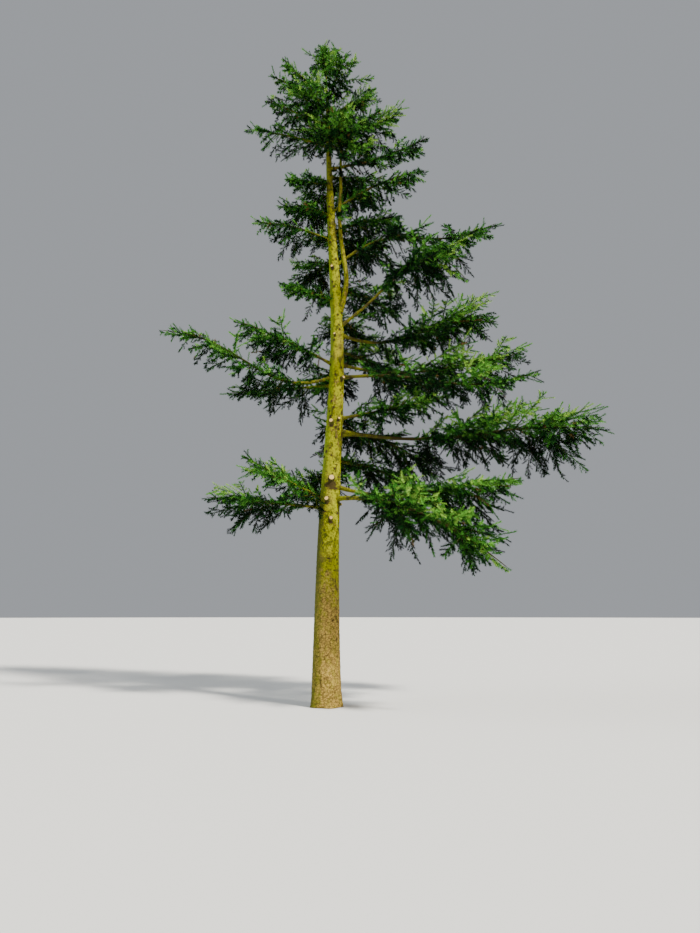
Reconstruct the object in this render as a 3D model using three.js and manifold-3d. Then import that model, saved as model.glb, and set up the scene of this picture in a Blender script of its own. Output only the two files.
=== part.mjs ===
// Atlas cedar tree, about 13.6 m tall, rooted in level ground, with its near side pruned to stubs.
// Millimetres, +Z up. The origin is the middle of the flat cut at ground level. +X is to the right and
// +Y away, as one faces the pruned side. Angles are in degrees, turned from +X towards +Y.
import * as THREE from 'three';
import { mergeVertices } from 'three/addons/utils/BufferGeometryUtils.js';
import Module from 'manifold-3d';

const wasm = await Module();
wasm.setup();

// The trunk
const TREE_HEIGHT = 13600;
const TRUNK_TOP = 12850;
const TRUNK_GIRTH = 475;
const TAPER_END = 13400;
const TAPER_POWER = 0.9;
const BUTT_SWELL = { width: 60, height: 1800 };
const ROOT_FLARE = { width: 40, height: 150 };
const ROOT_LOBES = { count: 5, depth: 0.08, height: 220 };
const BOW = { across: 170, middle: 6600, height: 2600 };
const TOP_LEAN = -130;
const TRUNK_SIDES = 16;
const TRUNK_RINGS = 19;
const TRUNK_RING_POWER = 1.35;

// The second stem, as distances from the trunk's middle line at a few heights
const SECOND_TURN = -12;
const SECOND_ROUTE = [[70, 7400], [165, 7700], [236, 8080], [205, 8600], [175, 9150], [180, 9600],
  [226, 10050], [250, 10700], [290, 11350]];
const SECOND_WIDTH = { foot: 104, tip: 44 };
const SECOND_SIDES = 7;
const SECOND_RINGS = 11;

// Sizes that hold for every limb and every mass of foliage
const GAP = 0.3;
const LIMB_POWER = 0.8;
const LIMB_TIP_WIDTH = 9;
const USUAL_GIRTH = { least: 34, perLength: 0.008 };
const BOUGH_SIDES = 6;
const BOUGH_RING_STEP = 300;
const STEM_SIDES = 3;
const STEM_RING_STEP = 500;
const STEM_OVERLAP = 12;

// Twigs: their spacing, width as part of length, and angle from the limb at the foot and at the tip
const TWIG_STEP = 760;
const FEWEST_TWIGS = 4;
const TWIG_WIDTH = 0.034;
const LEAST_TWIG_WIDTH = 13;
const TWIG_ANGLE = { foot: 66, tip: 34, scatter: 14 };
const TWIG_ENVELOPE = { foot: 0.24, along: 0.62 };
const GOLDEN_TURN = 137.5;
const TWIG_END = 0.38;

// Sprays: where each leaves its twig, and its length as part of the twig's
const LAST_SPRAY = { from: 0.30, share: 0.84, scatter: 10 };
const NEAR_SPRAY = { from: 0.14, share: 0.80 };
const FAR_SPRAY = { from: 0.24, share: 0.74 };
const SIDE_SPRAY_ROLL = 50;
const SHORTEST_WITH_SIDES = 580;
const SPRAY_WIDTH = 0.60;
const SPRAY_KEEL = 0.08;
const SPRAY_DROOP = 0.06;
const END_SPRAY = { share: 0.30, longest: 850, width: 0.42 };

// Space: how much nearer another stem may be, the least gap to another body, and the lengths that are tried
const SPACE_MARGIN = -100;
const LEAST_GAP = 0.5;
const LENGTH_SHARES = [1, 0.75, 0.55];

// A spray of needles seen from above, from its root to its tip: part of its length, and of its half width
const SPRAY_TEETH = [[0.36, 1.0], [0.39, 0.40], [0.72, 0.68]];
const SPRAY_MIDDLE = 0.34;

// Cut stubs on the near side: height, turn, width of the cut and how far it stands out
const STUB_SIDES = 7;
const STUB_TILT = 14;
const STUB_FOOT = 1.3;
const STUBS = [
  { height: 3290, turn: -80, width: 70, length: 50 },
  { height: 3560, turn: -22, width: 52, length: 60 },
  { height: 3650, turn: -105, width: 80, length: 55 },
  { height: 4040, turn: -86, width: 104, length: 60 },
  { height: 5130, turn: -106, width: 80, length: 70 },
  { height: 5190, turn: -62, width: 46, length: 45 },
  { height: 6000, turn: -48, width: 60, length: 75 },
  { height: 6900, turn: -108, width: 44, length: 40 },
  { height: 8330, turn: -108, width: 54, length: 55 },
];

// What a limb has unless its own row says otherwise. Bare is the part of its reach with no foliage, spread is
// the longest twig as part of the reach, droop and scatter are how twigs slope, down and either way.
const USUAL = { offset: 0, rise: 0, bow: 0, wave: 0, bare: 0, spread: 0.48, droop: 4, scatter: 34, twigs: 1,
  spiral: false };

const LIMBS = [
  // Right side, from the lowest to the crown
  { name: 'low_right_near', height: 3670, turn: -34, reach: 3400, rise: -1380, bow: 370, bare: 0.18,
    spread: 0.36, droop: 2, scatter: 28, girth: 82 },
  { name: 'low_right_outer', height: 3950, turn: -14, reach: 3480, rise: -30, bow: -200, wave: -70,
    bare: 0.18, spread: 0.38, droop: 22, scatter: 18, girth: 66 },
  { name: 'low_right_back', height: 4880, turn: 36, reach: 2730, rise: -550, bow: 350, bare: 0.18,
    spread: 0.42, droop: 20, girth: 64 },
  { name: 'far_right', height: 5010, turn: 2, reach: 5250, rise: 90, bow: -110, wave: -100, bare: 0.26,
    spread: 0.27, droop: 4, scatter: 50, girth: 66, twigs: 1.3 },
  { name: 'mid_right_low', height: 5220, turn: -4, reach: 2250, rise: 440, bow: -30, bare: 0.16,
    spread: 0.38, droop: 10, girth: 56 },
  { name: 'mid_right', height: 6050, turn: -9, reach: 3800, rise: -80, bow: -130, wave: 110, bare: 0.13,
    spread: 0.30, scatter: 24, girth: 62 },
  { name: 'mid_right_back', height: 6340, turn: 14, reach: 4000, rise: 620, bow: -260, wave: -50, bare: 0.13,
    spread: 0.38, droop: 6, scatter: 26, girth: 58 },
  { name: 'broad_right', height: 6960, turn: 16, reach: 3460, rise: 680, bow: -80, wave: -195, bare: 0.20,
    spread: 0.42, droop: 14, scatter: 20, girth: 60 },
  { name: 'arching_right', height: 7050, turn: -14, reach: 2540, rise: 760, bow: 700, wave: -240, bare: 0.32,
    spread: 0.44, droop: 14, scatter: 26, girth: 60 },
  { name: 'rising_right', height: 8380, turn: -8, reach: 3220, rise: 700, bow: 170, wave: 180, bare: 0.10,
    spread: 0.42, droop: 22, scatter: 22, girth: 50 },
  { name: 'crown_right_a', height: 9580, turn: -5, reach: 1960, rise: 860, bow: 180, spread: 0.46,
    droop: 20 },
  { name: 'crown_right_b', height: 9150, turn: 22, reach: 1500, rise: 700, bow: 60, spread: 0.58,
    droop: 20 },
  { name: 'crown_right_c', height: 10600, turn: -12, reach: 2060, rise: 420, bow: -110, spread: 0.48,
    droop: 18 },
  { name: 'crown_right_d', height: 11250, turn: 10, reach: 1600, rise: 930, bow: -30, spread: 0.48,
    droop: 10 },
  { name: 'crown_right_e', height: 11850, turn: 22, reach: 1010, rise: 840, spread: 0.64 },
  // Left side, from the lowest to the crown
  { name: 'low_left', height: 3500, turn: 160, reach: 2660, rise: 370, bow: 10, bare: 0.18, spread: 0.32,
    droop: 4, scatter: 20, girth: 58 },
  { name: 'low_left_near', height: 3640, turn: 170, reach: 1740, rise: 960, bow: -40, spread: 0.40 },
  { name: 'left_long', height: 6100, turn: 188, reach: 3340, rise: 740, bow: -220, wave: -200, bare: 0.12,
    spread: 0.24, droop: 6, scatter: 34, girth: 56 },
  { name: 'left_under', height: 5900, turn: 158, reach: 2400, rise: 140, spread: 0.30, droop: 8,
    scatter: 20 },
  { name: 'left_over', height: 6270, turn: 172, reach: 2090, rise: 1110, bow: 60, bare: 0.12, spread: 0.42,
    droop: 14, scatter: 17, girth: 52 },
  { name: 'crown_left_a', height: 7640, turn: 176, reach: 1130, rise: 440, spread: 0.44, droop: -2,
    scatter: 26 },
  { name: 'crown_left_b', height: 8940, turn: 188, reach: 1600, rise: 310, bow: 110, spread: 0.38, droop: 26,
    scatter: 24 },
  { name: 'crown_left_c', height: 9540, turn: 166, reach: 1110, rise: 380, spread: 0.50, droop: 18 },
  { name: 'crown_left_d', height: 10230, turn: 196, reach: 920, rise: -30, spread: 0.54, droop: 20 },
  { name: 'crown_left_e', height: 11120, turn: 184, reach: 1700, rise: 330, bow: 50, spread: 0.32, droop: 14,
    scatter: 18 },
  { name: 'crown_left_f', height: 11630, turn: 160, reach: 1480, rise: 1040, spread: 0.38, droop: 10 },
  { name: 'crown_left_g', height: 12130, turn: 200, reach: 1220, rise: 360, spread: 0.42 },
  { name: 'crown_left_h', height: 12500, turn: 174, reach: 950, rise: 860, bow: -120, spread: 0.44 },
  // The few near boughs that are left at the top
  { name: 'crown_near_a', height: 11000, turn: -70, reach: 950, rise: 260, spread: 0.85, droop: 16 },
  { name: 'crown_near_b', height: 11620, turn: -114, reach: 950, rise: 320, spread: 0.85, droop: 16 },
  { name: 'crown_near_c', height: 12220, turn: -62, reach: 850, rise: 420, spread: 0.85, droop: 16 },
  // Far side, from the lowest to the crown
  { name: 'far_low', height: 4400, turn: 52, reach: 2800, rise: -100, bow: 120, spread: 0.40, girth: 66 },
  { name: 'far_low_left', height: 4150, turn: 106, reach: 2600, rise: 0, bow: 120, spread: 0.34 },
  { name: 'far_mid', height: 5300, turn: 80, reach: 3000, rise: 50, bow: 120, spread: 0.36, girth: 66 },
  { name: 'far_mid_left', height: 6250, turn: 100, reach: 2600, rise: 420, spread: 0.32 },
  { name: 'far_mid_right', height: 6600, turn: 60, reach: 3000, rise: 250, bow: 100, spread: 0.40 },
  { name: 'far_broad', height: 7300, turn: 74, reach: 2600, rise: 300, bow: 90, spread: 0.38 },
  { name: 'far_upper_right', height: 7950, turn: 56, reach: 2500, rise: 300, bow: 90, spread: 0.44 },
  { name: 'far_upper_left', height: 8500, turn: 114, reach: 1800, rise: 350, bow: 60, spread: 0.48 },
  { name: 'crown_far_a', height: 9100, turn: 64, reach: 2000, rise: 420, bow: 60, spread: 0.56 },
  { name: 'crown_far_b', height: 10000, turn: 116, reach: 1500, rise: 420, bow: 60, spread: 0.54 },
  { name: 'crown_far_c', height: 10450, turn: 58, reach: 1650, rise: 400, bow: 60, spread: 0.56 },
  { name: 'crown_far_d', height: 11650, turn: 96, reach: 1150, rise: 560, bow: 60, spread: 0.58 },
  // The tips of the trunk and of the second stem
  { name: 'leader', height: TRUNK_TOP - 20, turn: 190, reach: 50, rise: 750, spread: 0.62, spiral: true,
    girth: 24, droop: -24, scatter: 44, twigs: 3 },
  { name: 'second_leader', height: 11330, turn: -20, reach: 60, rise: 560, spread: 0.6, spiral: true,
    girth: 40, droop: -12, twigs: 3, offset: 289 },
];

// Colours
const BARK_COLOUR = 0x8f8a2c;
const LIMB_COLOUR = 0x55501f;
const FOLIAGE_COLOUR = 0x2f5a26;

const radians = (degrees) => THREE.MathUtils.degToRad(degrees);
const headingOf = (turn) => new THREE.Vector3(Math.cos(radians(turn)), Math.sin(radians(turn)), 0);
const UP = new THREE.Vector3(0, 0, 1);

// A closed three.js shape as a solid that can be joined and cut
function solidOf(geometry) {
  const bare = geometry.clone();
  bare.deleteAttribute('normal');
  bare.deleteAttribute('uv');
  const merged = mergeVertices(bare, 1e-3);
  const mesh = new wasm.Mesh({
    numProp: 3,
    vertProperties: new Float32Array(merged.attributes.position.array),
    triVerts: new Uint32Array(merged.index.array),
  });
  return new wasm.Manifold(mesh);
}

// The largest loose piece of a solid, so that scraps are dropped
function largestPiece(solid) {
  const pieces = solid.decompose();
  return pieces.reduce((best, piece) => (piece.volume() > best.volume() ? piece : best));
}

// A number from 0 to 1 that is always the same for one limb, one place on it and one use
function chance(limb, place, use) {
  let mixed = Math.imul(limb + 1, 374761393) ^ Math.imul(place + 1, 668265263);
  mixed ^= Math.imul(use + 1, 974634777);
  mixed = Math.imul(mixed ^ (mixed >>> 13), 1274126177);
  mixed = Math.imul(mixed ^ (mixed >>> 15), 461845907);
  return ((mixed ^ (mixed >>> 16)) >>> 0) / 4294967296;
}

// How far right of the root the trunk's middle is at a height
function trunkMiddle(height) {
  const bow = BOW.across * Math.exp(-(((height - BOW.middle) / BOW.height) ** 2));
  return bow + TOP_LEAN * (height / TREE_HEIGHT) ** 6;
}

// The trunk's radius at a height: an even taper, a swelling at the butt and a flare at the roots
function trunkRadius(height) {
  const taper = TRUNK_GIRTH * (1 - height / TAPER_END) ** TAPER_POWER;
  const swell = BUTT_SWELL.width * Math.exp(-height / BUTT_SWELL.height);
  const flare = ROOT_FLARE.width * Math.exp(-height / ROOT_FLARE.height);
  return (taper + swell + flare) / 2;
}

// An extruded polygon whose rings are carried to the places and sizes that a function of 0 to 1 gives. Left,
// above and the way along are at right angles, in that order.
function carriedPrism(sides, rings, ringAt) {
  const corners = Array.from({ length: sides }, (_, i) => {
    const angle = Math.PI / 2 + 2 * Math.PI * i / sides;
    return new THREE.Vector2(Math.cos(angle), Math.sin(angle));
  });
  const settings = { depth: 1, steps: rings, bevelEnabled: false };
  const geometry = new THREE.ExtrudeGeometry(new THREE.Shape(corners), settings);
  const position = geometry.attributes.position;
  for (let i = 0; i < position.count; i += 1) {
    const [x, y, part] = [position.getX(i), position.getY(i), position.getZ(i)];
    const { middle, left, above, radius } = ringAt(part, Math.atan2(y, x));
    const point = middle.clone().addScaledVector(left, x * radius).addScaledVector(above, y * radius);
    position.setXYZ(i, point.x, point.y, point.z);
  }
  return geometry;
}

// The two directions at right angles to a way along, with left level
function sidesOf(along) {
  const left = new THREE.Vector3().crossVectors(UP, along).normalize();
  return { left, above: new THREE.Vector3().crossVectors(along, left) };
}

// The trunk, with its rings closer together near the ground, or the same grown by a clearance
function trunkShape(clearance) {
  const left = new THREE.Vector3(1, 0, 0);
  const above = new THREE.Vector3(0, 1, 0);
  return carriedPrism(TRUNK_SIDES, TRUNK_RINGS, (part, angle) => {
    const height = TRUNK_TOP * part ** TRUNK_RING_POWER + (part === 1 ? clearance : 0);
    const lobe = ROOT_LOBES.depth * Math.exp(-height / ROOT_LOBES.height);
    const radius = trunkRadius(height) * (1 + lobe * Math.cos(ROOT_LOBES.count * angle)) + clearance;
    return { middle: new THREE.Vector3(trunkMiddle(height), 0, height), left, above, radius };
  });
}

// A cut stub: a short, slightly tapering peg that stands out of the trunk and tilts up a little
function stubShape({ height, turn, width, length }, clearance) {
  const tilt = radians(STUB_TILT);
  const out = headingOf(turn).multiplyScalar(Math.cos(tilt)).addScaledVector(UP, Math.sin(tilt));
  const root = new THREE.Vector3(trunkMiddle(height), 0, height - trunkRadius(height) * Math.tan(tilt));
  const reach = trunkRadius(height) + length + clearance;
  return carriedPrism(STUB_SIDES, 1, (part) => ({
    ...sidesOf(out),
    middle: root.clone().addScaledVector(out, reach * part),
    radius: (width / 2) * (STUB_FOOT + (1 - STUB_FOOT) * part) + clearance,
  }));
}

// The second stem's middle line
function secondStemRoute() {
  const heading = headingOf(SECOND_TURN);
  const points = SECOND_ROUTE.map(([offset, height]) => {
    const point = heading.clone().multiplyScalar(offset);
    return point.add(new THREE.Vector3(trunkMiddle(height), 0, height));
  });
  return new THREE.CatmullRomCurve3(points);
}

// The second stem, an even taper along its middle line, or the same grown by a clearance
function secondStemShape(clearance) {
  const route = secondStemRoute();
  return carriedPrism(SECOND_SIDES, SECOND_RINGS, (part) => {
    const along = route.getTangentAt(part);
    const left = new THREE.Vector3().crossVectors(new THREE.Vector3(0, 1, 0), along).normalize();
    const above = new THREE.Vector3().crossVectors(along, left);
    const middle = route.getPointAt(part).addScaledVector(along, part === 1 ? clearance : 0);
    const width = THREE.MathUtils.lerp(SECOND_WIDTH.foot, SECOND_WIDTH.tip, part);
    return { middle, left, above, radius: width / 2 + clearance };
  });
}

// A limb's middle line: straight out at its turn, with its rise, bow and wave added along the way
function limbPoint(limb, part) {
  const point = headingOf(SECOND_TURN).multiplyScalar(limb.offset);
  point.addScaledVector(headingOf(limb.turn), limb.reach * part);
  point.x += trunkMiddle(limb.height);
  point.z = limb.height + limb.rise * part + limb.bow * 4 * part * (1 - part);
  point.z += limb.wave * Math.sin(2 * Math.PI * part);
  return point;
}

// A place on a limb with the way along it and the two directions at right angles
function limbFrame(limb, part) {
  const step = 0.002;
  const along = limbPoint(limb, part + step).sub(limbPoint(limb, part - step)).normalize();
  return { middle: limbPoint(limb, part), along, ...sidesOf(along) };
}

// A limb's radius, which falls evenly to its tip
const limbRadius = (limb, part) => (limb.girth * (1 - part) ** LIMB_POWER + LIMB_TIP_WIDTH) / 2;

// One stretch of a limb
function limbShape(limb, sides, rings, from, to) {
  return carriedPrism(sides, rings, (part) => {
    const place = from + (to - from) * part;
    return { ...limbFrame(limb, place), radius: limbRadius(limb, Math.min(place, 1)) };
  });
}

const twigPoint = (twig, part) => twig.root.clone().addScaledVector(twig.heading, twig.length * part);

// A twig: a three-sided spike from its root in the stem's middle to just past where its last spray begins
function twigShape(twig) {
  const { left, above } = sidesOf(twig.heading);
  const foot = [90, 210, 330].map((angle) => {
    const point = twig.root.clone().addScaledVector(left, twig.radius * Math.cos(radians(angle)));
    return point.addScaledVector(above, twig.radius * Math.sin(radians(angle)));
  });
  const geometry = new THREE.BufferGeometry().setFromPoints([...foot, twigPoint(twig, TWIG_END)]);
  geometry.setIndex([0, 2, 1, 0, 1, 3, 1, 2, 3, 2, 0, 3]);
  return geometry;
}

// A spray is a toothed blade: its outline is its root, teeth up one side, its tip and teeth down the other,
// all bent down a little, and a keel hangs under its middle. Roll tips it to one side.
function sprayPoints(spray) {
  const { left, above } = sidesOf(spray.heading);
  left.applyAxisAngle(spray.heading, radians(spray.roll));
  above.applyAxisAngle(spray.heading, radians(spray.roll));
  const place = (along, side, lift) => {
    const point = spray.root.clone().addScaledVector(spray.heading, along * spray.length);
    point.addScaledVector(left, side * spray.width / 2).addScaledVector(above, lift);
    point.z -= spray.length * SPRAY_DROOP * (along * along + 0.5 * side * side);
    return point;
  };
  const leftTeeth = SPRAY_TEETH.map(([along, side]) => place(along, side, 0));
  const rightTeeth = SPRAY_TEETH.map(([along, side]) => place(along, -side, 0));
  return {
    outline: [place(0, 0, 0), ...rightTeeth, place(1, 0, 0), ...leftTeeth.reverse()],
    keel: place(SPRAY_MIDDLE, 0, -spray.length * SPRAY_KEEL),
  };
}

const sprayTips = (spray) => sprayPoints(spray).outline.slice(1);

function sprayShape(spray) {
  const { outline, keel } = sprayPoints(spray);
  const count = outline.length;
  const pairs = SPRAY_TEETH.length;
  const rows = SPRAY_TEETH.slice(1).flatMap((_, i) => (
    [i + 1, i + 2, count - i - 2, i + 1, count - i - 2, count - i - 1]));
  const top = [0, 1, count - 1, ...rows, pairs, pairs + 1, pairs + 2];
  const under = outline.flatMap((_, i) => [(i + 1) % count, i, count]);
  const geometry = new THREE.BufferGeometry().setFromPoints([...outline, keel]);
  geometry.setIndex([...top, ...under]);
  return geometry;
}

// The heading of a twig: the limb's heading turned to one side, then sloped up or down
function turnedHeading(along, angle, slope) {
  const flat = new THREE.Vector3(along.x, along.y, 0).normalize().applyAxisAngle(UP, radians(angle));
  return flat.multiplyScalar(Math.cos(radians(slope))).addScaledVector(UP, Math.sin(radians(slope)));
}

// The twigs of one limb: alternate sides, wide at the foot of the foliage and swept forward at its tip
function twigsOf(limb) {
  const leafy = limb.span * (1 - limb.bare);
  const count = Math.max(FEWEST_TWIGS, Math.round(leafy * limb.twigs / TWIG_STEP));
  return Array.from({ length: count }, (_, k) => {
    const roll = (use) => chance(limb.number, k, use);
    const along = (k + 0.3 + 0.5 * roll(0)) / count;
    const part = limb.bare + (limb.stemEnd - limb.bare) * (0.05 + 0.93 * along);
    const frame = limbFrame(limb, part);
    const side = k % 2 === 0 ? 1 : -1;
    const envelope = Math.sin(Math.PI * (TWIG_ENVELOPE.foot + TWIG_ENVELOPE.along * along));
    const length = limb.span * limb.spread * envelope * (0.78 + 0.4 * roll(1));
    const turned = THREE.MathUtils.lerp(TWIG_ANGLE.foot, TWIG_ANGLE.tip, along);
    const swept = turned + TWIG_ANGLE.scatter * (roll(2) - 0.5);
    const angle = limb.spiral ? GOLDEN_TURN * k : side * swept;
    const slope = -limb.droop + 2 * limb.scatter * (roll(3) - 0.5);
    const radius = Math.max(length * TWIG_WIDTH, LEAST_TWIG_WIDTH) / 2;
    const heading = turnedHeading(frame.along, angle, slope);
    return { root: frame.middle, heading, length, radius, number: k };
  });
}

// The sprays of one twig: one that ends it, and one to each side on the longer twigs
function spraysOf(limb, twig) {
  const chanceOf = (use) => chance(limb.number, twig.number, use);
  const slope = THREE.MathUtils.radToDeg(Math.asin(twig.heading.z));
  const spray = (kind, turn, fall, roll) => {
    const heading = turnedHeading(twig.heading, turn, slope - fall);
    const length = twig.length * kind.share;
    return { root: twigPoint(twig, kind.from), heading, length, width: length * SPRAY_WIDTH, roll };
  };
  const tip = chanceOf(9) < 0.5 ? -1 : 1;
  const lastTurn = LAST_SPRAY.scatter * (chanceOf(4) - 0.5);
  const sprays = [spray(LAST_SPRAY, lastTurn, 0, tip * (35 + 30 * chanceOf(10)))];
  if (twig.length > SHORTEST_WITH_SIDES) {
    const roll = tip * SIDE_SPRAY_ROLL;
    sprays.push(spray(NEAR_SPRAY, tip * (30 + 24 * chanceOf(5)), 18 + 26 * chanceOf(6), roll));
    sprays.push(spray(FAR_SPRAY, -tip * (36 + 20 * chanceOf(7)), -6 - 22 * chanceOf(8), -roll));
  }
  return sprays;
}

// The spray that ends a limb, which reaches the limb's full length
function endSpray(limb) {
  const root = limbPoint(limb, limb.stemEnd);
  const heading = limbPoint(limb, 1).sub(root);
  const length = heading.length();
  return { root, heading: heading.normalize(), length, width: length * END_SPRAY.width, roll: 0 };
}

// Every limb with its usual values filled in, its span, and the place where its last spray begins
const limbs = LIMBS.map((row, number) => {
  const limb = { ...USUAL, ...row, number };
  const span = Math.hypot(limb.reach, limb.rise);
  const stemEnd = 1 - Math.min(END_SPRAY.share, END_SPRAY.longest / span);
  const girth = USUAL_GIRTH.least + USUAL_GIRTH.perLength * span;
  return { girth, ...limb, span, stemEnd };
});

// The middle lines of every mass's stem, as a few points each, which share out the space
const stemLines = limbs.map((limb) => Array.from({ length: 13 }, (_, i) => (
  limbPoint(limb, limb.bare + (1 - limb.bare) * i / 12))));

// How far a point is from a middle line
function nearness(line, point) {
  let least = Infinity;
  for (let i = 1; i < line.length; i += 1) {
    const stretch = new THREE.Line3(line[i - 1], line[i]);
    const near = stretch.closestPointToPoint(point, true, new THREE.Vector3());
    least = Math.min(least, near.distanceTo(point));
  }
  return least;
}

// A point lies in a mass's own space when that mass's stem is nearer than every other stem
function inOwnSpace(limb, point) {
  const own = nearness(stemLines[limb.number], point);
  const clear = (line, number) => number === limb.number || nearness(line, point) > own + SPACE_MARGIN;
  return stemLines.every(clear);
}

function boxesMeet(a, b, margin) {
  return [0, 1, 2].every((axis) => (
    a.min[axis] - margin < b.max[axis] && b.min[axis] - margin < a.max[axis]));
}

const grownShapes = [trunkShape(GAP), ...STUBS.map((stub) => stubShape(stub, GAP))];
const grownTrunk = wasm.Manifold.union(grownShapes.map(solidOf));
const grownSecondStem = solidOf(secondStemShape(GAP));
const trunk = wasm.Manifold.union([trunkShape(0), ...STUBS.map((stub) => stubShape(stub, 0))].map(solidOf));
const secondStem = largestPiece(solidOf(secondStemShape(0)).subtract(solidOf(trunkShape(GAP))));

const solids = [];
const keepSolid = (name, solid, colour) => solids.push({ name, solid, colour, box: solid.boundingBox() });
keepSolid('trunk', trunk, BARK_COLOUR);
keepSolid('second_stem', secondStem, BARK_COLOUR);

// What is left of a limb outside the trunk and the second stem, with the gap kept
const clearOfStems = (solid) => largestPiece(solid.subtract(grownTrunk).subtract(grownSecondStem));

for (const limb of limbs.filter((each) => each.bare > 0)) {
  const rings = Math.ceil(limb.reach * limb.bare / BOUGH_RING_STEP);
  const bough = clearOfStems(solidOf(limbShape(limb, BOUGH_SIDES, rings, 0, limb.bare)));
  keepSolid(`bough_${limb.name}`, bough, LIMB_COLOUR);
}

// A twig or a spray fits where it stays in its space and clear of every limb and other mass
function fits(limb, solid, points) {
  if (!points.every((point) => inOwnSpace(limb, point))) {
    return false;
  }
  const box = solid.boundingBox();
  return !solids.some((other) => (
    boxesMeet(box, other.box, LEAST_GAP) && solid.minGap(other.solid, LEAST_GAP) < LEAST_GAP));
}

// The solid of a twig or a spray at the first of a few lengths that fits, or nothing where none does
function fitted(limb, growth, shapeOf, pointsOf) {
  for (const share of LENGTH_SHARES) {
    const shorter = { ...growth, length: growth.length * share, width: growth.width * share };
    const solid = solidOf(shapeOf(shorter));
    if (fits(limb, solid, pointsOf(shorter))) {
      return { growth: shorter, solid };
    }
  }
  return null;
}

// One mass of foliage: its stem, with the gap kept to its bough or to the trunk, and all that fits on it
function foliageSolid(limb) {
  const start = limb.bare > 0 ? limb.bare + GAP / limb.span : 0;
  const end = limb.stemEnd + STEM_OVERLAP / limb.span;
  const rings = Math.max(2, Math.ceil(limb.span * (end - start) / STEM_RING_STEP));
  const pieces = [clearOfStems(solidOf(limbShape(limb, STEM_SIDES, rings, start, end)))];
  const keptLast = fitted(limb, endSpray(limb), sprayShape, () => []);
  if (keptLast) {
    pieces.push(keptLast.solid);
  }
  for (const twig of twigsOf(limb)) {
    const kept = fitted(limb, twig, twigShape, (growth) => [twigPoint(growth, TWIG_END)]);
    if (kept) {
      const sprays = spraysOf(limb, kept.growth);
      const keptSprays = sprays.map((each) => fitted(limb, each, sprayShape, sprayTips)).filter(Boolean);
      pieces.push(kept.solid, ...keptSprays.map((each) => each.solid));
    }
  }
  return largestPiece(wasm.Manifold.union(pieces));
}

for (const limb of limbs) {
  keepSolid(`foliage_${limb.name}`, foliageSolid(limb), FOLIAGE_COLOUR);
}

// A solid's faces as a three.js mesh with its own finish
function meshOf({ name, solid, colour }) {
  const { vertProperties, triVerts, numProp } = solid.getMesh();
  const geometry = new THREE.BufferGeometry();
  geometry.setAttribute('position', new THREE.InterleavedBufferAttribute(
    new THREE.InterleavedBuffer(vertProperties, numProp), 3, 0));
  geometry.setIndex(new THREE.BufferAttribute(triVerts, 1));
  const material = new THREE.MeshStandardMaterial({ color: colour, roughness: 0.85, metalness: 0 });
  const mesh = new THREE.Mesh(geometry, material);
  mesh.name = name;
  return mesh;
}

const tree = new THREE.Group();
tree.add(...solids.map(meshOf));

export default tree;
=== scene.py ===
"""Atlas cedar tree, rooted in level ground, with its near side pruned to stubs.

The tree grows here by the same rule and the same named sizes as its solids, in millimetres with +Z up.
It goes into meshes in metres. Finer twigs, spurs and needles are carried on from that rule.
"""

import functools
import math

import bpy
import numpy as np
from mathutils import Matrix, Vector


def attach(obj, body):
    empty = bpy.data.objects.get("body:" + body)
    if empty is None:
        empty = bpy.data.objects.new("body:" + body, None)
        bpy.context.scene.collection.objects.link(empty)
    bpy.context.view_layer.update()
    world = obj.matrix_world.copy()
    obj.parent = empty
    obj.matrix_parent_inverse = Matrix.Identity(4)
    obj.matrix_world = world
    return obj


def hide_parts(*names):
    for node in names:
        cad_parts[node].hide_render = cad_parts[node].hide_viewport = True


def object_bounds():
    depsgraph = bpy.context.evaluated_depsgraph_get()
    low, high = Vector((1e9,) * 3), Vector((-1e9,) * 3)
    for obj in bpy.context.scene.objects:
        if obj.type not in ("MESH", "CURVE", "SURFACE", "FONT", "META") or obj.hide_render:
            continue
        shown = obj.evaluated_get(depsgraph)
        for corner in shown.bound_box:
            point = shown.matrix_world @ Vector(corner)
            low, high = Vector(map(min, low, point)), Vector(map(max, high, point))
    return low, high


bl_info = {
    "name": "Atlas Cedar Tree",
    "version": (1, 0, 0),
    "blender": (4, 5, 0),
    "location": "3D View > Sidebar > Cedar",
    "description": "Dresses the solids of an atlas cedar with bark, twigs and needles",
    "category": "Add Mesh",
}

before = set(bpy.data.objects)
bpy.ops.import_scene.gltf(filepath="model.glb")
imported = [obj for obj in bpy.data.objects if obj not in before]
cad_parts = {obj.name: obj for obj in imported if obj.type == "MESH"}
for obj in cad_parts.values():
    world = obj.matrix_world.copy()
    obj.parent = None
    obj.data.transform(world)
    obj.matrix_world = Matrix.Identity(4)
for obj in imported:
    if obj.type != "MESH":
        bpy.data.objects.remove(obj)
CAD_BOX = [list(corner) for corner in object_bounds()]
UP = np.array([0.0, 0.0, 1.0])
METRES = 0.001
# How far rounding may go past the solids' box, in metres, and the upright part that makes a unit way steep
ROUNDING = 0.002
STEEP = 0.9

# The trunk, as in the solids
TREE_HEIGHT = 13600
TRUNK_TOP = 12850
TRUNK_GIRTH = 475
TAPER_END = 13400
TAPER_POWER = 0.9
BUTT_SWELL = {"width": 60, "height": 1800}
ROOT_FLARE = {"width": 40, "height": 150}
ROOT_LOBES = {"count": 5, "depth": 0.08, "height": 220}
BOW = {"across": 170, "middle": 6600, "height": 2600}
TOP_LEAN = -130
RING_POWER = 1.1

# The second stem, as distances from the trunk's middle line at a few heights
SECOND_TURN = -12
SECOND_ROUTE = [(70, 7400), (165, 7700), (236, 8080), (205, 8600), (175, 9150), (180, 9600), (226, 10050),
                (250, 10700), (290, 11350)]
SECOND_WIDTH = {"foot": 104, "tip": 44}

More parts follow.
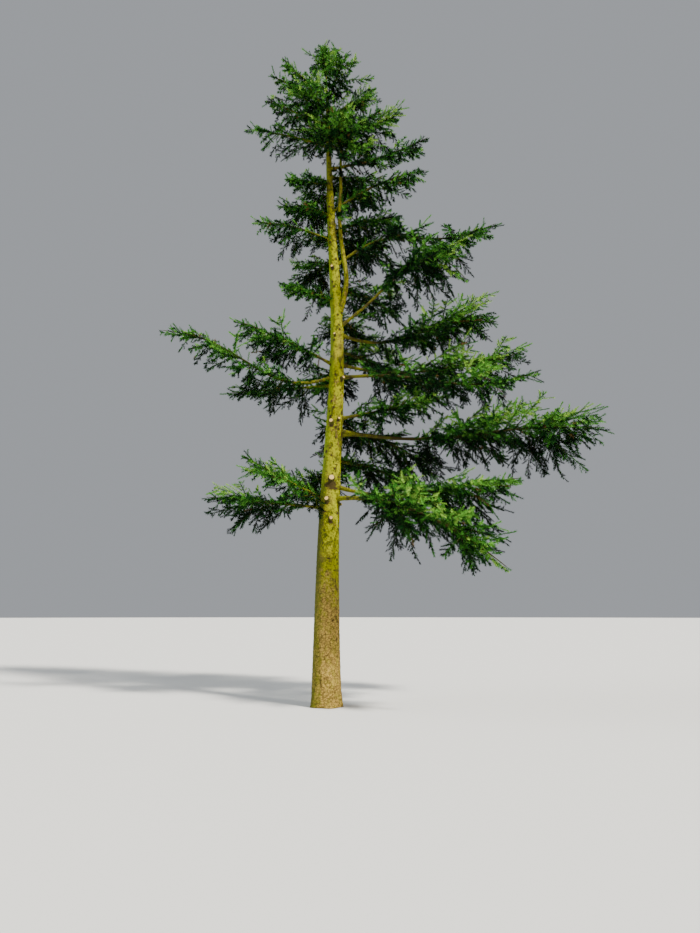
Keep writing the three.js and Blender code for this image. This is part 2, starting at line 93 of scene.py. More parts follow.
# Limbs, twigs and sprays, as in the solids
LIMB_POWER = 0.8
LIMB_TIP_WIDTH = 9
USUAL_GIRTH = {"least": 34, "per_length": 0.008}
TWIG_STEP = 760
FEWEST_TWIGS = 4
TWIG_ANGLE = {"foot": 66, "tip": 34, "scatter": 14}
TWIG_ENVELOPE = {"foot": 0.24, "along": 0.62}
TWIG_PLACE = {"from": 0.05, "share": 0.93}
TWIG_LENGTH = {"least": 0.78, "more": 0.4}
GOLDEN_TURN = 137.5
TWIG_END = 0.38
LAST_SPRAY = {"from": 0.30, "share": 0.84, "scatter": 10, "lean": 35, "more_lean": 30}
NEAR_SPRAY = {"from": 0.14, "share": 0.80, "turn": 30, "more_turn": 24, "fall": 18, "more_fall": 26}
FAR_SPRAY = {"from": 0.24, "share": 0.74, "turn": 36, "more_turn": 20, "fall": -6, "more_fall": -22}
SIDE_SPRAY_ROLL = 50
SHORTEST_WITH_SIDES = 580
SPRAY_WIDTH = 0.60
SPRAY_DROOP = 0.06
SPRAY_TEETH = [(0.36, 1.0), (0.39, 0.40), (0.72, 0.68)]
END_SPRAY = {"share": 0.30, "longest": 850, "width": 0.42}
SPACE_MARGIN = -100
LENGTH_SHARES = (1, 0.75, 0.55)

# What only the scene grows: twigs between the solids' own, numbered from 400 on, spurs round the limbs,
# twiglets and needles, how bright each spray and each small spray is as painted light, and where each
# brighter colour begins
EXTRA_TWIGS = {"from": 400, "wider": 12, "least": 0.28, "more": 0.62, "flatter": 0.45}
SHORTEST_FINE_TWIG = 95
SPURS = {"step": 40, "least": 90, "more": 130, "lean": 62, "flat": 0.6}
TWIGLETS = {"fewest": 6, "angle": 56, "closing": 24, "scatter": 46, "least": 0.36, "more": 0.76, "rise": 1.3,
            "fall": 0.16, "more_fall": 0.36, "hanging": 0.5}
NEEDLES = {"lean": 30, "more_lean": 42, "closing": 0.5, "roll": 0.7, "least": 0.75, "more": 0.5}
LIGHT = {"usual": 0.42, "near": 0.18, "depth": 3000, "out": 0.20, "scatter": 0.16}
OWN_LIGHT = {"above": 0.30, "height": 240, "scatter": 0.48, "spurs": 0.5, "darker": 0.06}
TINT_STEPS = [0.18, 0.36, 0.54, 0.72]
DRY_SHARE = 0.006

# The bark's plates and its finer unevenness: how many waves, their whole turns, and their pitch in height
PLATES = (22, (3, 17), (110, 420))
FINE_PLATES = (18, (12, 30), (60, 180))

# Small scars on the trunk, the uneven width of a limb and the collar at its foot
KNOTS = {"from": 3300, "range": 7300, "turn": -90, "spread": 66, "least": 15, "more": 17}
LIMB_WAVES = {"share": 0.07, "count": 6, "pitch": (120, 500)}
COLLAR = {"share": 0.40, "length": 60}

# Cut stubs on the near side: height, turn, width of the cut and how far it stands out
STUB_TILT = 14
STUB_FOOT = 1.3
STUBS = [
    (3290, -80, 70, 50), (3560, -22, 52, 60), (3650, -105, 80, 55), (4040, -86, 104, 60),
    (5130, -106, 80, 70), (5190, -62, 46, 45), (6000, -48, 60, 75), (6900, -108, 44, 40),
    (8330, -108, 54, 55),
]

# Hollows and swellings of the bark: height, turn, half width, half height and how far it stands out or in
SCARS = [
    (4640, -8, 40, 170, -16), (4640, 14, 40, 150, 14), (6400, 196, 45, 70, 16), (5560, 200, 45, 80, 14),
    (430, -112, 22, 150, -14), (760, -70, 18, 22, -16), (7820, -30, 34, 60, 18), (9290, -20, 26, 34, 14),
]

# Dark marks on the bark, which are flat: height, turn, half width and half height. The first two are painted
# shadow under the biggest stub
SHADOWS_AND_DARK_MARKS = [
    (3925, -88, 135, 66), (3850, -70, 150, 22), (5330, -26, 34, 60), (5180, -22, 22, 120),
    (4900, -18, 36, 130), (4720, -12, 30, 90), (6080, -100, 30, 24), (4480, -96, 26, 22), (4300, -58, 34, 18),
    (3420, -120, 60, 20), (2560, -84, 50, 16), (2360, -50, 40, 14), (1480, -58, 26, 16), (1150, -38, 40, 12),
]

# Limbs: the height and turn of the foot, the reach and rise of the tip, the bow and wave of the middle line,
# the bare share, the spread, droop and scatter of the twigs, how full it is of extra twigs, and the girth,
# where 0 stands for the usual one
LIMB_COLUMNS = ("name", "height", "turn", "reach", "rise", "bow", "wave", "bare", "spread", "droop",
                "scatter", "full", "girth")
LIMB_ROWS = [
    # Right side, from the lowest to the crown
    ("low_right_near", 3670, -34, 3400, -1380, 370, 0, 0.18, 0.36, 2, 28, 2.8, 82),
    ("low_right_outer", 3950, -14, 3480, -30, -200, -70, 0.18, 0.38, 22, 18, 2.8, 66),
    ("low_right_back", 4880, 36, 2730, -550, 350, 0, 0.18, 0.42, 20, 34, 2.4, 64),
    ("far_right", 5010, 2, 5250, 90, -110, -100, 0.26, 0.27, 4, 50, 2.5, 66),
    ("mid_right_low", 5220, -4, 2250, 440, -30, 0, 0.16, 0.38, 10, 34, 2.0, 56),
    ("mid_right", 6050, -9, 3800, -80, -130, 110, 0.13, 0.3, 4, 24, 1.6, 62),
    ("mid_right_back", 6340, 14, 4000, 620, -260, -50, 0.13, 0.38, 6, 26, 1.5, 58),
    ("broad_right", 6960, 16, 3460, 680, -80, -195, 0.2, 0.42, 14, 20, 3.0, 60),
    ("arching_right", 7050, -14, 2540, 760, 700, -240, 0.32, 0.44, 14, 26, 2.0, 60),
    ("rising_right", 8380, -8, 3220, 700, 170, 180, 0.1, 0.42, 22, 22, 1.9, 50),
    ("crown_right_a", 9580, -5, 1960, 860, 180, 0, 0, 0.46, 20, 34, 2.0, 0),
    ("crown_right_b", 9150, 22, 1500, 700, 60, 0, 0, 0.58, 20, 34, 2.6, 0),
    ("crown_right_c", 10600, -12, 2060, 420, -110, 0, 0, 0.48, 18, 34, 2.2, 0),
    ("crown_right_d", 11250, 10, 1600, 930, -30, 0, 0, 0.48, 10, 34, 1.8, 0),
    ("crown_right_e", 11850, 22, 1010, 840, 0, 0, 0, 0.64, 4, 34, 2.4, 0),
    # Left side, from the lowest to the crown
    ("low_left", 3500, 160, 2660, 370, 10, 0, 0.18, 0.32, 4, 20, 1.8, 58),
    ("low_left_near", 3640, 170, 1740, 960, -40, 0, 0, 0.4, 4, 34, 1.8, 0),
    ("left_long", 6100, 188, 3340, 740, -220, -200, 0.12, 0.24, 6, 34, 3.2, 56),
    ("left_under", 5900, 158, 2400, 140, 0, 0, 0, 0.3, 8, 20, 1.7, 0),
    ("left_over", 6270, 172, 2090, 1110, 60, 0, 0.12, 0.42, 14, 17, 2.0, 52),
    ("crown_left_a", 7640, 176, 1130, 440, 0, 0, 0, 0.44, -2, 26, 2.6, 0),
    ("crown_left_b", 8940, 188, 1600, 310, 110, 0, 0, 0.38, 26, 24, 2.4, 0),
    ("crown_left_c", 9540, 166, 1110, 380, 0, 0, 0, 0.5, 18, 34, 3.2, 0),
    ("crown_left_d", 10230, 196, 920, -30, 0, 0, 0, 0.54, 20, 34, 3.2, 0),
    ("crown_left_e", 11120, 184, 1700, 330, 50, 0, 0, 0.32, 14, 18, 1.5, 0),
    ("crown_left_f", 11630, 160, 1480, 1040, 0, 0, 0, 0.38, 10, 34, 1.6, 0),
    ("crown_left_g", 12130, 200, 1220, 360, 0, 0, 0, 0.42, 4, 34, 1.6, 0),
    ("crown_left_h", 12500, 174, 950, 860, -120, 0, 0, 0.44, 4, 34, 2.0, 0),
    # The few near boughs that are left at the top
    ("crown_near_a", 11000, -70, 950, 260, 0, 0, 0, 0.85, 16, 34, 3.0, 0),
    ("crown_near_b", 11620, -114, 950, 320, 0, 0, 0, 0.85, 16, 34, 3.0, 0),
    ("crown_near_c", 12220, -62, 850, 420, 0, 0, 0, 0.85, 16, 34, 3.0, 0),
    # Far side, from the lowest to the crown
    ("far_low", 4400, 52, 2800, -100, 120, 0, 0, 0.4, 4, 34, 2.0, 66),
    ("far_low_left", 4150, 106, 2600, 0, 120, 0, 0, 0.34, 4, 34, 1.6, 0),
    ("far_mid", 5300, 80, 3000, 50, 120, 0, 0, 0.36, 4, 34, 1.6, 66),
    ("far_mid_left", 6250, 100, 2600, 420, 0, 0, 0, 0.32, 4, 34, 1.6, 0),
    ("far_mid_right", 6600, 60, 3000, 250, 100, 0, 0, 0.4, 4, 34, 1.7, 0),
    ("far_broad", 7300, 74, 2600, 300, 90, 0, 0, 0.38, 4, 34, 1.9, 0),
    ("far_upper_right", 7950, 56, 2500, 300, 90, 0, 0, 0.44, 4, 34, 2.0, 0),
    ("far_upper_left", 8500, 114, 1800, 350, 60, 0, 0, 0.48, 4, 34, 2.2, 0),
    ("crown_far_a", 9100, 64, 2000, 420, 60, 0, 0, 0.56, 4, 34, 2.0, 0),
    ("crown_far_b", 10000, 116, 1500, 420, 60, 0, 0, 0.54, 4, 34, 3.0, 0),
    ("crown_far_c", 10450, 58, 1650, 400, 60, 0, 0, 0.56, 4, 34, 3.0, 0),
    ("crown_far_d", 11650, 96, 1150, 560, 60, 0, 0, 0.58, 4, 34, 2.4, 0),
    # The tips of the trunk and of the second stem
    ("leader", TRUNK_TOP - 20, 190, 50, 750, 0, 0, 0, 0.62, -24, 44, 3.6, 24),
    ("second_leader", 11330, -20, 60, 560, 0, 0, 0, 0.6, -12, 34, 1.0, 40),
]

# What a few limbs have of their own: more twigs, extra twigs that lift, or a foot on the second stem
LIMB_EXTRAS = {
    "low_right_outer": {"lift": 16}, "far_right": {"twigs": 1.3}, "mid_right_low": {"lift": 4},
    "broad_right": {"lift": 14}, "crown_left_c": {"lift": 8}, "crown_left_d": {"lift": 10},
    "leader": {"spiral": True, "twigs": 3}, "second_leader": {"spiral": True, "twigs": 3, "offset": 289},
}


def limb_of(row):
    """One limb with its span, its girth and the place where its stem gives way to its last spray."""
    limb = {**dict(zip(LIMB_COLUMNS, row)), "twigs": 1.0, "lift": 0, "offset": 0, "spiral": False}
    limb.update(LIMB_EXTRAS.get(limb["name"], {}))
    span = math.hypot(limb["reach"], limb["rise"])
    limb["girth"] = limb["girth"] or USUAL_GIRTH["least"] + USUAL_GIRTH["per_length"] * span
    limb["stem_end"] = 1 - min(END_SPRAY["share"], END_SPRAY["longest"] / span)
    return {**limb, "span": span}


LIMBS = [limb_of(row) for row in LIMB_ROWS]

# Which masses of foliage are joined into which piece of needles, with the letters of a row of masses left out
ZONES = {
    "low_right": ("low_right_near", "low_right_outer", "low_right_back", "mid_right_low"),
    "far_right": ("far_right", "mid_right"),
    "mid_right": ("mid_right_back", "broad_right", "arching_right"),
    "upper_right": ("rising_right", "crown_right", "second_leader"),
    "left": ("low_left", "low_left_near", "left_long", "left_under", "left_over"),
    "crown_left": ("crown_left", "crown_near", "leader"),
    "far_low": ("far_low", "far_low_left", "far_mid", "far_mid_left", "far_mid_right"),
    "far_high": ("far_broad", "far_upper_right", "far_upper_left", "crown_far"),
}


def paint(name, description, default):
    """A colour of a piece."""
    return bpy.props.FloatVectorProperty(
        name=name, description=description, default=default, size=3, subtype="COLOR", min=0, max=1)


def metres(name, description, default):
    """A distance in metres."""
    return bpy.props.FloatProperty(
        name=name, description=description, default=default, min=0, subtype="DISTANCE", unit="LENGTH")


class TrunkLook(bpy.types.PropertyGroup):
    """How the bark of the trunk and of the boughs looks."""

    relief: metres("Relief", "How deep the furrows between the bark's plates are", 0.005)
    knots: bpy.props.IntProperty(
        name="Knots", description="Small scars of fallen branches on the near side", default=56,
        min=0, max=200)
    moss_from: metres("Moss From", "The height where the green growth on the bark begins", 1.9)
    moss: paint("Moss", "Yellow-green growth on the bark", (0.252, 0.266, 0.003))
    # Dark Moss is also the colour of the painted shade on the trunk's left side and, mixed with dark bark, of
    # the painted shade in the crown
    dark_moss_and_shade: paint("Dark Moss", "The growth where it is thick or damp", (0.050, 0.060, 0.003))
    bark: paint("Bark", "Bare bark", (0.455, 0.300, 0.068))
    # Dark Bark is also the colour of the painted shadow under and round the stubs and, mixed with dark moss,
    # of the painted shade in the crown
    bark_dark: paint("Dark Bark", "Furrows, knots and the shaded side of boughs", (0.030, 0.018, 0.006))
    cut: paint("Cut Wood", "Fresh wood where a branch was sawn off", (0.620, 0.430, 0.150))


class NeedleLook(bpy.types.PropertyGroup):
    """Sizes of the finest twigs and of the needles."""

    length: metres("Needle Length", "Length of one needle", 0.050)
    width: metres("Needle Width", "Width of one needle at its foot", 0.0160)
    tuft: bpy.props.IntProperty(
        name="Needles in a Tuft", description="Needles that stand in one rosette", default=5, min=2, max=16)
    tuft_step: metres("Tuft Step", "Distance between rosettes along a twig", 0.031)
    twiglet_step: metres("Twiglet Step", "Distance between the finest twigs along a spray", 0.0375)
    fullness: bpy.props.FloatProperty(
        name="Fullness", description="Twigs between the solids' own, for each of those", default=3.6,
        min=0, max=6, subtype="FACTOR")


class FoliageColours(bpy.types.PropertyGroup):
    """Plain colours that are dealt out to the sprays, from the darkest to the brightest, mostly as painted
    light and shade.
    """

    # The darker tints are mostly painted shade and the brighter ones mostly painted light, with a random
    # scatter of the needles' own tones
    shade: paint("Shade", "Deep inside the crown", (0.0005, 0.0070, 0.0012))
    deep: paint("Deep", "Old needles", (0.0026, 0.0280, 0.0034))
    middle: paint("Middle", "Most needles", (0.0255, 0.1240, 0.0115))
    fresh_and_lit: paint("Fresh", "This year's needles", (0.0920, 0.2700, 0.0310))
    lime: paint("Lime", "The brightest tips", (0.2050, 0.3800, 0.0560))
    brown: paint("Brown", "A few dry sprays", (0.1000, 0.0600, 0.0150))


class StageLook(bpy.types.PropertyGroup):
    """The floor, the light and the camera."""

    floor: paint("Floor", "Pale floor", (0.66, 0.66, 0.64))
    sky: paint("Surroundings", "Soft light from all round", (0.90, 0.94, 1.0))
    sky_strength: bpy.props.FloatProperty(
        name="Surrounding Light", description="Strength of the light from all round", default=0.40, min=0)
    key_strength: bpy.props.FloatProperty(
        name="Key Light", description="Strength of the main light", default=9.2, min=0)
    camera_place: bpy.props.FloatVectorProperty(
        name="Camera Place", description="Where the camera stands", default=(0.42, -12.7, 1.6), size=3,
        subtype="TRANSLATION", unit="LENGTH")
    camera_tilt: bpy.props.FloatProperty(
        name="Camera Tilt", description="How far the camera looks up", default=math.radians(12),
        subtype="ANGLE", unit="ROTATION")
    focal_share: bpy.props.FloatProperty(
        name="Focal Share", description="Focal length as part of the picture's long side", default=690 / 933)


# Growth

def unit(vectors):
    """Vectors scaled to length 1."""
    return vectors / np.maximum(np.linalg.norm(vectors, axis=-1, keepdims=True), 1e-9)


def sideways(along, steepest=math.inf):
    """Left and above at right angles to unit ways. Left is level, except where a way is too steep."""
    level = np.where(np.abs(along[..., 2:]) > steepest, np.array([1.0, 0.0, 0.0]), UP)
    left = unit(np.cross(level, along))
    return left, np.cross(along, left)


def ways_round(along, angles):
    """Unit ways at right angles to each way along, at angles round it: left cos a + above sin a."""
    left, above = sideways(along, STEEP)
    return left[..., None, :] * np.cos(angles)[..., None] + above[..., None, :] * np.sin(angles)[..., None]


def points_along(root, heading, length, part, droop=0.0):
    """Places along lines that droop: root + heading length t, less droop length t^2 straight down."""
    return root + heading * (length * part)[..., None] - (length * droop * part ** 2)[..., None] * UP


def heading_of(turn):
    """Level direction (cos turn, sin turn, 0) for turns in degrees."""
    angle = np.radians(np.asarray(turn, dtype=float))
    return np.stack([np.cos(angle), np.sin(angle), np.zeros_like(angle)], axis=-1)


def chance(limb, place, use):
    """A number from 0 to 1 that is always the same for one limb, one place and one use, as in the solids."""
    most = 0xFFFFFFFF
    mixed = ((limb + 1) * 374761393 ^ (place + 1) * 668265263 ^ (use + 1) * 974634777) & most
    mixed = (mixed ^ (mixed >> 13)) * 1274126177 & most
    mixed = (mixed ^ (mixed >> 15)) * 461845907 & most
    return (mixed ^ (mixed >> 16)) / 4294967296


def trunk_middle(height):
    """How far right the trunk's middle is: a bell-shaped bow, and a lean by height^6."""
    height = np.asarray(height, dtype=float)
    bow = BOW["across"] * np.exp(-(((height - BOW["middle"]) / BOW["height"]) ** 2))
    return bow + TOP_LEAN * (height / TREE_HEIGHT) ** 6


def trunk_line(height):
    """The trunk's middle line at heights, as points."""
    return np.stack([trunk_middle(height), np.zeros_like(height), height], axis=-1)


def trunk_radius(height):
    """Half of: girth times (1 - height / end) to the taper's power, a butt swelling and a root flare."""
    height = np.asarray(height, dtype=float)
    taper = TRUNK_GIRTH * np.maximum(1 - height / TAPER_END, 0) ** TAPER_POWER
    swell = BUTT_SWELL["width"] * np.exp(-height / BUTT_SWELL["height"])
    flare = ROOT_FLARE["width"] * np.exp(-height / ROOT_FLARE["height"])
    return (taper + swell + flare) / 2


def limb_point(limb, part):
    """A limb's middle line at shares t of it: its foot's offset from the trunk's middle, and heading reach t.

    Its height is that of its foot + rise t + 4 bow t (1 - t) + wave sin(2 pi t).
    """
    part = np.asarray(part, dtype=float)
    out = heading_of(limb["turn"]) * (limb["reach"] * part)[..., None]
    point = heading_of(SECOND_TURN) * limb["offset"] + out
    point[..., 0] += trunk_middle(limb["height"])
    lift = limb["rise"] * part + limb["bow"] * 4 * part * (1 - part)
    point[..., 2] = limb["height"] + lift + limb["wave"] * np.sin(2 * math.pi * part)
    return point


def limb_along(limb, part):
    """The way along a limb at a place on it."""
    step = 0.002
    return unit(limb_point(limb, part + step) - limb_point(limb, part - step))


def limb_radius(limb, part):
    """Half of: girth times (1 - t) to the limb's power, and the tip's width."""
    return (limb["girth"] * (1 - np.asarray(part)) ** LIMB_POWER + LIMB_TIP_WIDTH) / 2


def turned_about(vectors, axis, angle):
    """Vectors turned about a unit axis at right angles to them, by v cos a + (axis x v) sin a."""
    angle = np.radians(angle)
    return vectors * np.cos(angle) + np.cross(axis, vectors) * np.sin(angle)


def turned_heading(along, angle, slope):
    """The way along, laid level and turned by an angle, then sloped up or down, all in degrees."""
    turn = math.degrees(math.atan2(along[1], along[0])) + angle
    return heading_of(turn) * math.cos(math.radians(slope)) + UP * math.sin(math.radians(slope))


STEM_LINES = np.array([limb_point(limb, np.linspace(limb["bare"], 1, 13)) for limb in LIMBS])


def in_own_space(number, points):
    """True where every point is nearer to its own limb's middle line than to any other, less a margin."""
    start, stretch = STEM_LINES[:, :-1], np.diff(STEM_LINES, axis=1)
    offset = np.asarray(points)[:, None, None] - start
    part = np.clip((offset * stretch).sum(-1) / (stretch ** 2).sum(-1), 0, 1)
    apart = np.linalg.norm(offset - part[..., None] * stretch, axis=-1).min(axis=-1)
    others = np.delete(apart, number, axis=1)
    return bool((others > apart[:, number:number + 1] + SPACE_MARGIN).all())


def in_box(points):
    """True where every point is inside the solids' box, less a margin for rounding."""
    low, high = np.array(CAD_BOX)
    places = np.asarray(points) * METRES
    return bool((places > low - ROUNDING).all() and (places < high + ROUNDING).all())


def fitted(number, growth, tips_of):
    """A twig or spray at the first length whose tips stay in the limb's own space and the box, or nothing."""
    for share in LENGTH_SHARES:
        shorter = {**growth, "length": growth["length"] * share}
        tips = tips_of(shorter)
        if in_own_space(number, tips) and in_box(tips):
            return shorter
    return None


def twigs_of(number, fullness):
    """The twigs of a limb: the solids' own, and then shorter ones between them, fullness times as many."""
    limb = LIMBS[number]
    leafy = limb["span"] * (1 - limb["bare"])
    count = max(FEWEST_TWIGS, math.floor(leafy * limb["twigs"] / TWIG_STEP + 0.5))
    twigs = []
    more = round(count * fullness * limb["full"])
    for place in range(count + more):
        own = place < count
        among = count if own else more
        mark = place if own else place + EXTRA_TWIGS["from"]
        roll = functools.partial(chance, number, mark)
        along = ((place if own else place - count) + 0.3 + 0.5 * roll(0)) / among
        stem_end = limb["stem_end"] if own else (limb["stem_end"] + 1) / 2
        part = limb["bare"] + (stem_end - limb["bare"]) * (TWIG_PLACE["from"] + TWIG_PLACE["share"] * along)
        envelope = math.sin(math.pi * (TWIG_ENVELOPE["foot"] + TWIG_ENVELOPE["along"] * along))
        varied = TWIG_LENGTH["least"] + TWIG_LENGTH["more"] * roll(1)
        length = limb["span"] * limb["spread"] * envelope * varied
        turned = TWIG_ANGLE["foot"] + (TWIG_ANGLE["tip"] - TWIG_ANGLE["foot"]) * along
        swept = turned + TWIG_ANGLE["scatter"] * (roll(2) - 0.5)
        side = 1 if (place + (0 if own else 1)) % 2 == 0 else -1
        angle = GOLDEN_TURN * place if limb["spiral"] else side * swept
        wider = 0 if own else EXTRA_TWIGS["wider"]
        lift = 0 if own else limb["lift"] - wider / 2
        slope = lift - limb["droop"] + 2 * (limb["scatter"] + wider) * (roll(3) - 0.5)
        shorter = 1 if own else EXTRA_TWIGS["least"] + EXTRA_TWIGS["more"] * roll(12)
        heading = turned_heading(limb_along(limb, part), angle, slope)
        twigs.append({"root": limb_point(limb, part), "heading": heading, "length": length * shorter,
                      "number": mark, "along": along})
    return twigs


def spray_frame(spray):
    """Left and above at right angles to a spray's heading, with left level before the spray's roll."""
    heading = spray["heading"]
    return [turned_about(each, heading, spray["roll"]) for each in sideways(heading)]


def spray_tips(spray):
    """The tips of a spray's blade: its end, and its teeth to each side at shares of its length."""
    left = spray_frame(spray)[0]
    rows = [(1.0, 0.0)] + [(along, side * sign) for along, side in SPRAY_TEETH for sign in (-1, 1)]
    along, side = np.array(rows).T[:, :, None]
    length = spray["length"]
    points = spray["root"] + spray["heading"] * along * length
    points = points + left * side * length * spray["width_share"] / 2
    return points - UP * length * SPRAY_DROOP * (along ** 2 + 0.5 * side ** 2)


def sprays_of(number, twig):
    """The sprays of one twig: one that ends it, and one to each side on the longer twigs."""
    roll = functools.partial(chance, number, twig["number"])
    slope = math.degrees(math.asin(twig["heading"][2]))

    def spray(kind, turn, fall, lean):
        return {
            "root": twig["root"] + twig["heading"] * twig["length"] * kind["from"],
            "heading": turned_heading(twig["heading"], turn, slope - fall),
            "length": twig["length"] * kind["share"], "width_share": SPRAY_WIDTH, "roll": lean,
        }

    tip = -1 if roll(9) < 0.5 else 1
    flatter = 1 if twig["number"] < EXTRA_TWIGS["from"] else EXTRA_TWIGS["flatter"]
    lean = tip * flatter * (LAST_SPRAY["lean"] + LAST_SPRAY["more_lean"] * roll(10))
    sprays = [spray(LAST_SPRAY, LAST_SPRAY["scatter"] * (roll(4) - 0.5), 0, lean)]
    if twig["length"] > SHORTEST_WITH_SIDES:
        for kind, hand, use in ((NEAR_SPRAY, tip, 5), (FAR_SPRAY, -tip, 7)):
            turn = hand * (kind["turn"] + kind["more_turn"] * roll(use))
            fall = kind["fall"] + kind["more_fall"] * roll(use + 1)
            sprays.append(spray(kind, turn, fall, hand * flatter * SIDE_SPRAY_ROLL))
    return sprays


def end_spray(limb):
    """The spray that ends a limb and reaches its full length."""
    root, end = limb_point(limb, limb["stem_end"]), limb_point(limb, 1.0)
    return {"root": root, "heading": unit(end - root), "length": np.linalg.norm(end - root),
            "width_share": END_SPRAY["width"], "roll": 0}


@functools.cache
def growth():
    """All twigs and all sprays that fit, each with its limb's number."""
    fullness = bpy.context.scene.cedar_needles.fullness
    twigs, sprays = [], []
    for number, limb in enumerate(LIMBS):
        last = len(sprays)
        sprays.append({**end_spray(limb), "limb": number, "along": 0.8, "foot": limb_point(limb, 1.0)[2]})
        for each in twigs_of(number, fullness):
            twig = fitted(number, each, lambda at: [at["root"] + at["heading"] * at["length"] * TWIG_END])
            if twig:
                kept = [fitted(number, one, spray_tips) for one in sprays_of(number, twig)]
                kept = [one for one in kept if one]
                twigs.append({**twig, "limb": number, "spray": len(sprays) if kept else last})
                place = {"limb": number, "along": twig["along"], "foot": twig["root"][2]}
                sprays.extend({**one, **place} for one in kept)
    return twigs, sprays


def gathered(rows, key):
    """One value of every row as an array."""
    return np.array([row[key] for row in rows], dtype=float)


def lines(rows):
    """Root, heading and length of every row."""
    return [gathered(rows, key) for key in ("root", "heading", "length")]


def dealt(amounts, least):
    """A whole number of items for each amount: every item's owner, its place and its row's length."""
    counts = np.maximum(least, np.round(amounts)).astype(int)
    owner = np.repeat(np.arange(len(counts)), counts)
    place = np.arange(len(owner)) - np.repeat(np.cumsum(counts) - counts, counts)
    return owner, place, counts[owner]


def spurs(random):
    """Short shoots all round the leafy part of every limb: root, heading, length and limb.

    Each leans away from the limb by an angle, at golden turns round it, and lies flatter than it would stand.
    """
    rows = []
    for number, limb in enumerate(LIMBS):
        part = np.arange(limb["bare"] + 0.02, 0.94, SPURS["step"] / limb["span"])
        part = part + (random.random(len(part)) - 0.5) * SPURS["step"] / limb["span"]
        along = limb_along(limb, part)
        left, above = sideways(along)
        turn = np.radians(GOLDEN_TURN * np.arange(len(part)) + 60 * random.random(len(part)))[:, None]
        lean = np.radians(SPURS["lean"] * (0.6 + 0.7 * random.random((len(part), 1))))
        out = left * np.cos(turn) + above * np.sin(turn) * SPURS["flat"]
        way = unit(along * np.cos(lean) + out * np.sin(lean))
        length = SPURS["least"] + SPURS["more"] * random.random(len(part))
        rows.append((limb_point(limb, part), way, length, np.full(len(part), number)))
    return [np.concatenate(column) for column in zip(*rows)]


@functools.cache
def fine_growth():
    """Twiglets on alternate sides of every spray, and then spurs: root, heading, length, spray and foot.

    The last value says where the spurs begin.
    """
    sprays = growth()[1]
    random = np.random.default_rng(7)
    root, heading, length = lines(sprays)
    left, above = np.array([spray_frame(spray) for spray in sprays]).transpose(1, 0, 2)
    half_width = length * gathered(sprays, "width_share") / 2
    owner, place, among = dealt(length * METRES / bpy.context.scene.cedar_needles.twiglet_step,
                                TWIGLETS["fewest"])
    along = 0.05 + 0.93 * (place + 0.2 + 0.6 * random.random(len(owner))) / among
    side = np.where(place % 2 == 0, 1.0, -1.0)
    scatter = TWIGLETS["scatter"] * (random.random(len(owner)) - 0.5)
    angle = np.radians(TWIGLETS["angle"] - TWIGLETS["closing"] * along + scatter)
    outline = np.interp(along, [0, 0.34, 0.72, 1.0], [0.42, 1.0, 0.66, 0.22])
    varied = TWIGLETS["least"] + TWIGLETS["more"] * random.random(len(owner))
    twiglet_length = half_width[owner] * outline * varied / np.sin(angle)
    way = heading[owner] * np.cos(angle)[:, None] + left[owner] * (side * np.sin(angle))[:, None]
    way += above[owner] * (TWIGLETS["rise"] * (random.random(len(owner)) - 0.5))[:, None]
    way[:, 2] -= TWIGLETS["fall"] + TWIGLETS["more_fall"] * random.random(len(owner))
    way = unit(way)
    twiglet_length *= 1 - TWIGLETS["hanging"] * np.clip(-way[:, 2], 0, 1)
    base = points_along(root[owner], heading[owner], length[owner], along, SPRAY_DROOP)
    spur_root, spur_way, spur_length, spur_limb = spurs(random)
    spur_spray = np.searchsorted(gathered(sprays, "limb"), spur_limb)
    twiglets = (base, way, twiglet_length, owner, gathered(sprays, "foot")[owner])
    rows = zip(twiglets, (spur_root, spur_way, spur_length, spur_spray, spur_root[:, 2]))
    return [np.concatenate(pair) for pair in rows] + [len(owner)]


# Surfaces

def wall_faces(rings, sides):
    """Two triangles for each gap between the points of rings."""
    ring, side = np.meshgrid(np.arange(rings - 1), np.arange(sides), indexing="ij")
    here, beside = ring * sides + side, ring * sides + (side + 1) % sides
    corners = [here, beside, beside + sides, here, beside + sides, here + sides]
    return np.stack(corners, axis=-1).reshape(-1, 3)


def fan(middle, first, sides):
    """A triangle from a middle point to each side of a ring that starts at a first point."""
    spoke = np.arange(sides)
    return np.stack([np.full(sides, middle), first + spoke, first + (spoke + 1) % sides], axis=-1)


def skin_faces(rings, sides):
    """The faces of a closed tube, whose two end points come after its rings."""
    foot = fan(rings * sides, 0, sides)[:, [0, 2, 1]]
    tip = fan(rings * sides + 1, (rings - 1) * sides, sides)
    return np.concatenate([wall_faces(rings, sides), foot, tip])


def repeated(points, faces):
    """Many alike parts as one pair, from the points of each part and the faces of one."""
    starts = np.arange(len(points)) * points.shape[1]
    return points.reshape(-1, 3), (faces[None] + starts[:, None, None]).reshape(-1, 3)


def tubes(paths, radii, sides):
    """Closed tubes round many middle lines: middle + radius (left cos a + above sin a)."""
    count, rings = radii.shape
    circle = ways_round(unit(np.gradient(paths, axis=1)), np.arange(sides) * 2 * math.pi / sides)
    points = (paths[:, :, None] + radii[:, :, None, None] * circle).reshape(count, rings * sides, 3)
    return repeated(np.concatenate([points, paths[:, [0, -1]]], axis=1), skin_faces(rings, sides))


def spikes(roots, headings, lengths, radii):
    """Three-sided spikes, from a small triangle round each root to a point at root + heading length."""
    foot = roots[:, None] + radii[:, None, None] * ways_round(headings, np.radians([90, 210, 330]))
    points = np.concatenate([foot, (roots + headings * lengths[:, None])[:, None]], axis=1)
    return repeated(points, np.array([[0, 2, 1], [0, 1, 3], [1, 2, 3], [2, 0, 3]]))


def joined(parts):
    """Several (points, faces) pairs as one."""
    starts = np.cumsum([0] + [len(points) for points, _ in parts])
    points = np.concatenate([points for points, _ in parts])
    return points, np.concatenate([faces + start for (_, faces), start in zip(parts, starts)])


def placed(name, data):
    """A mesh, a light or a camera as an object in the scene."""
    thing = bpy.data.objects.new(name, data)
    bpy.context.scene.collection.objects.link(thing)
    return thing


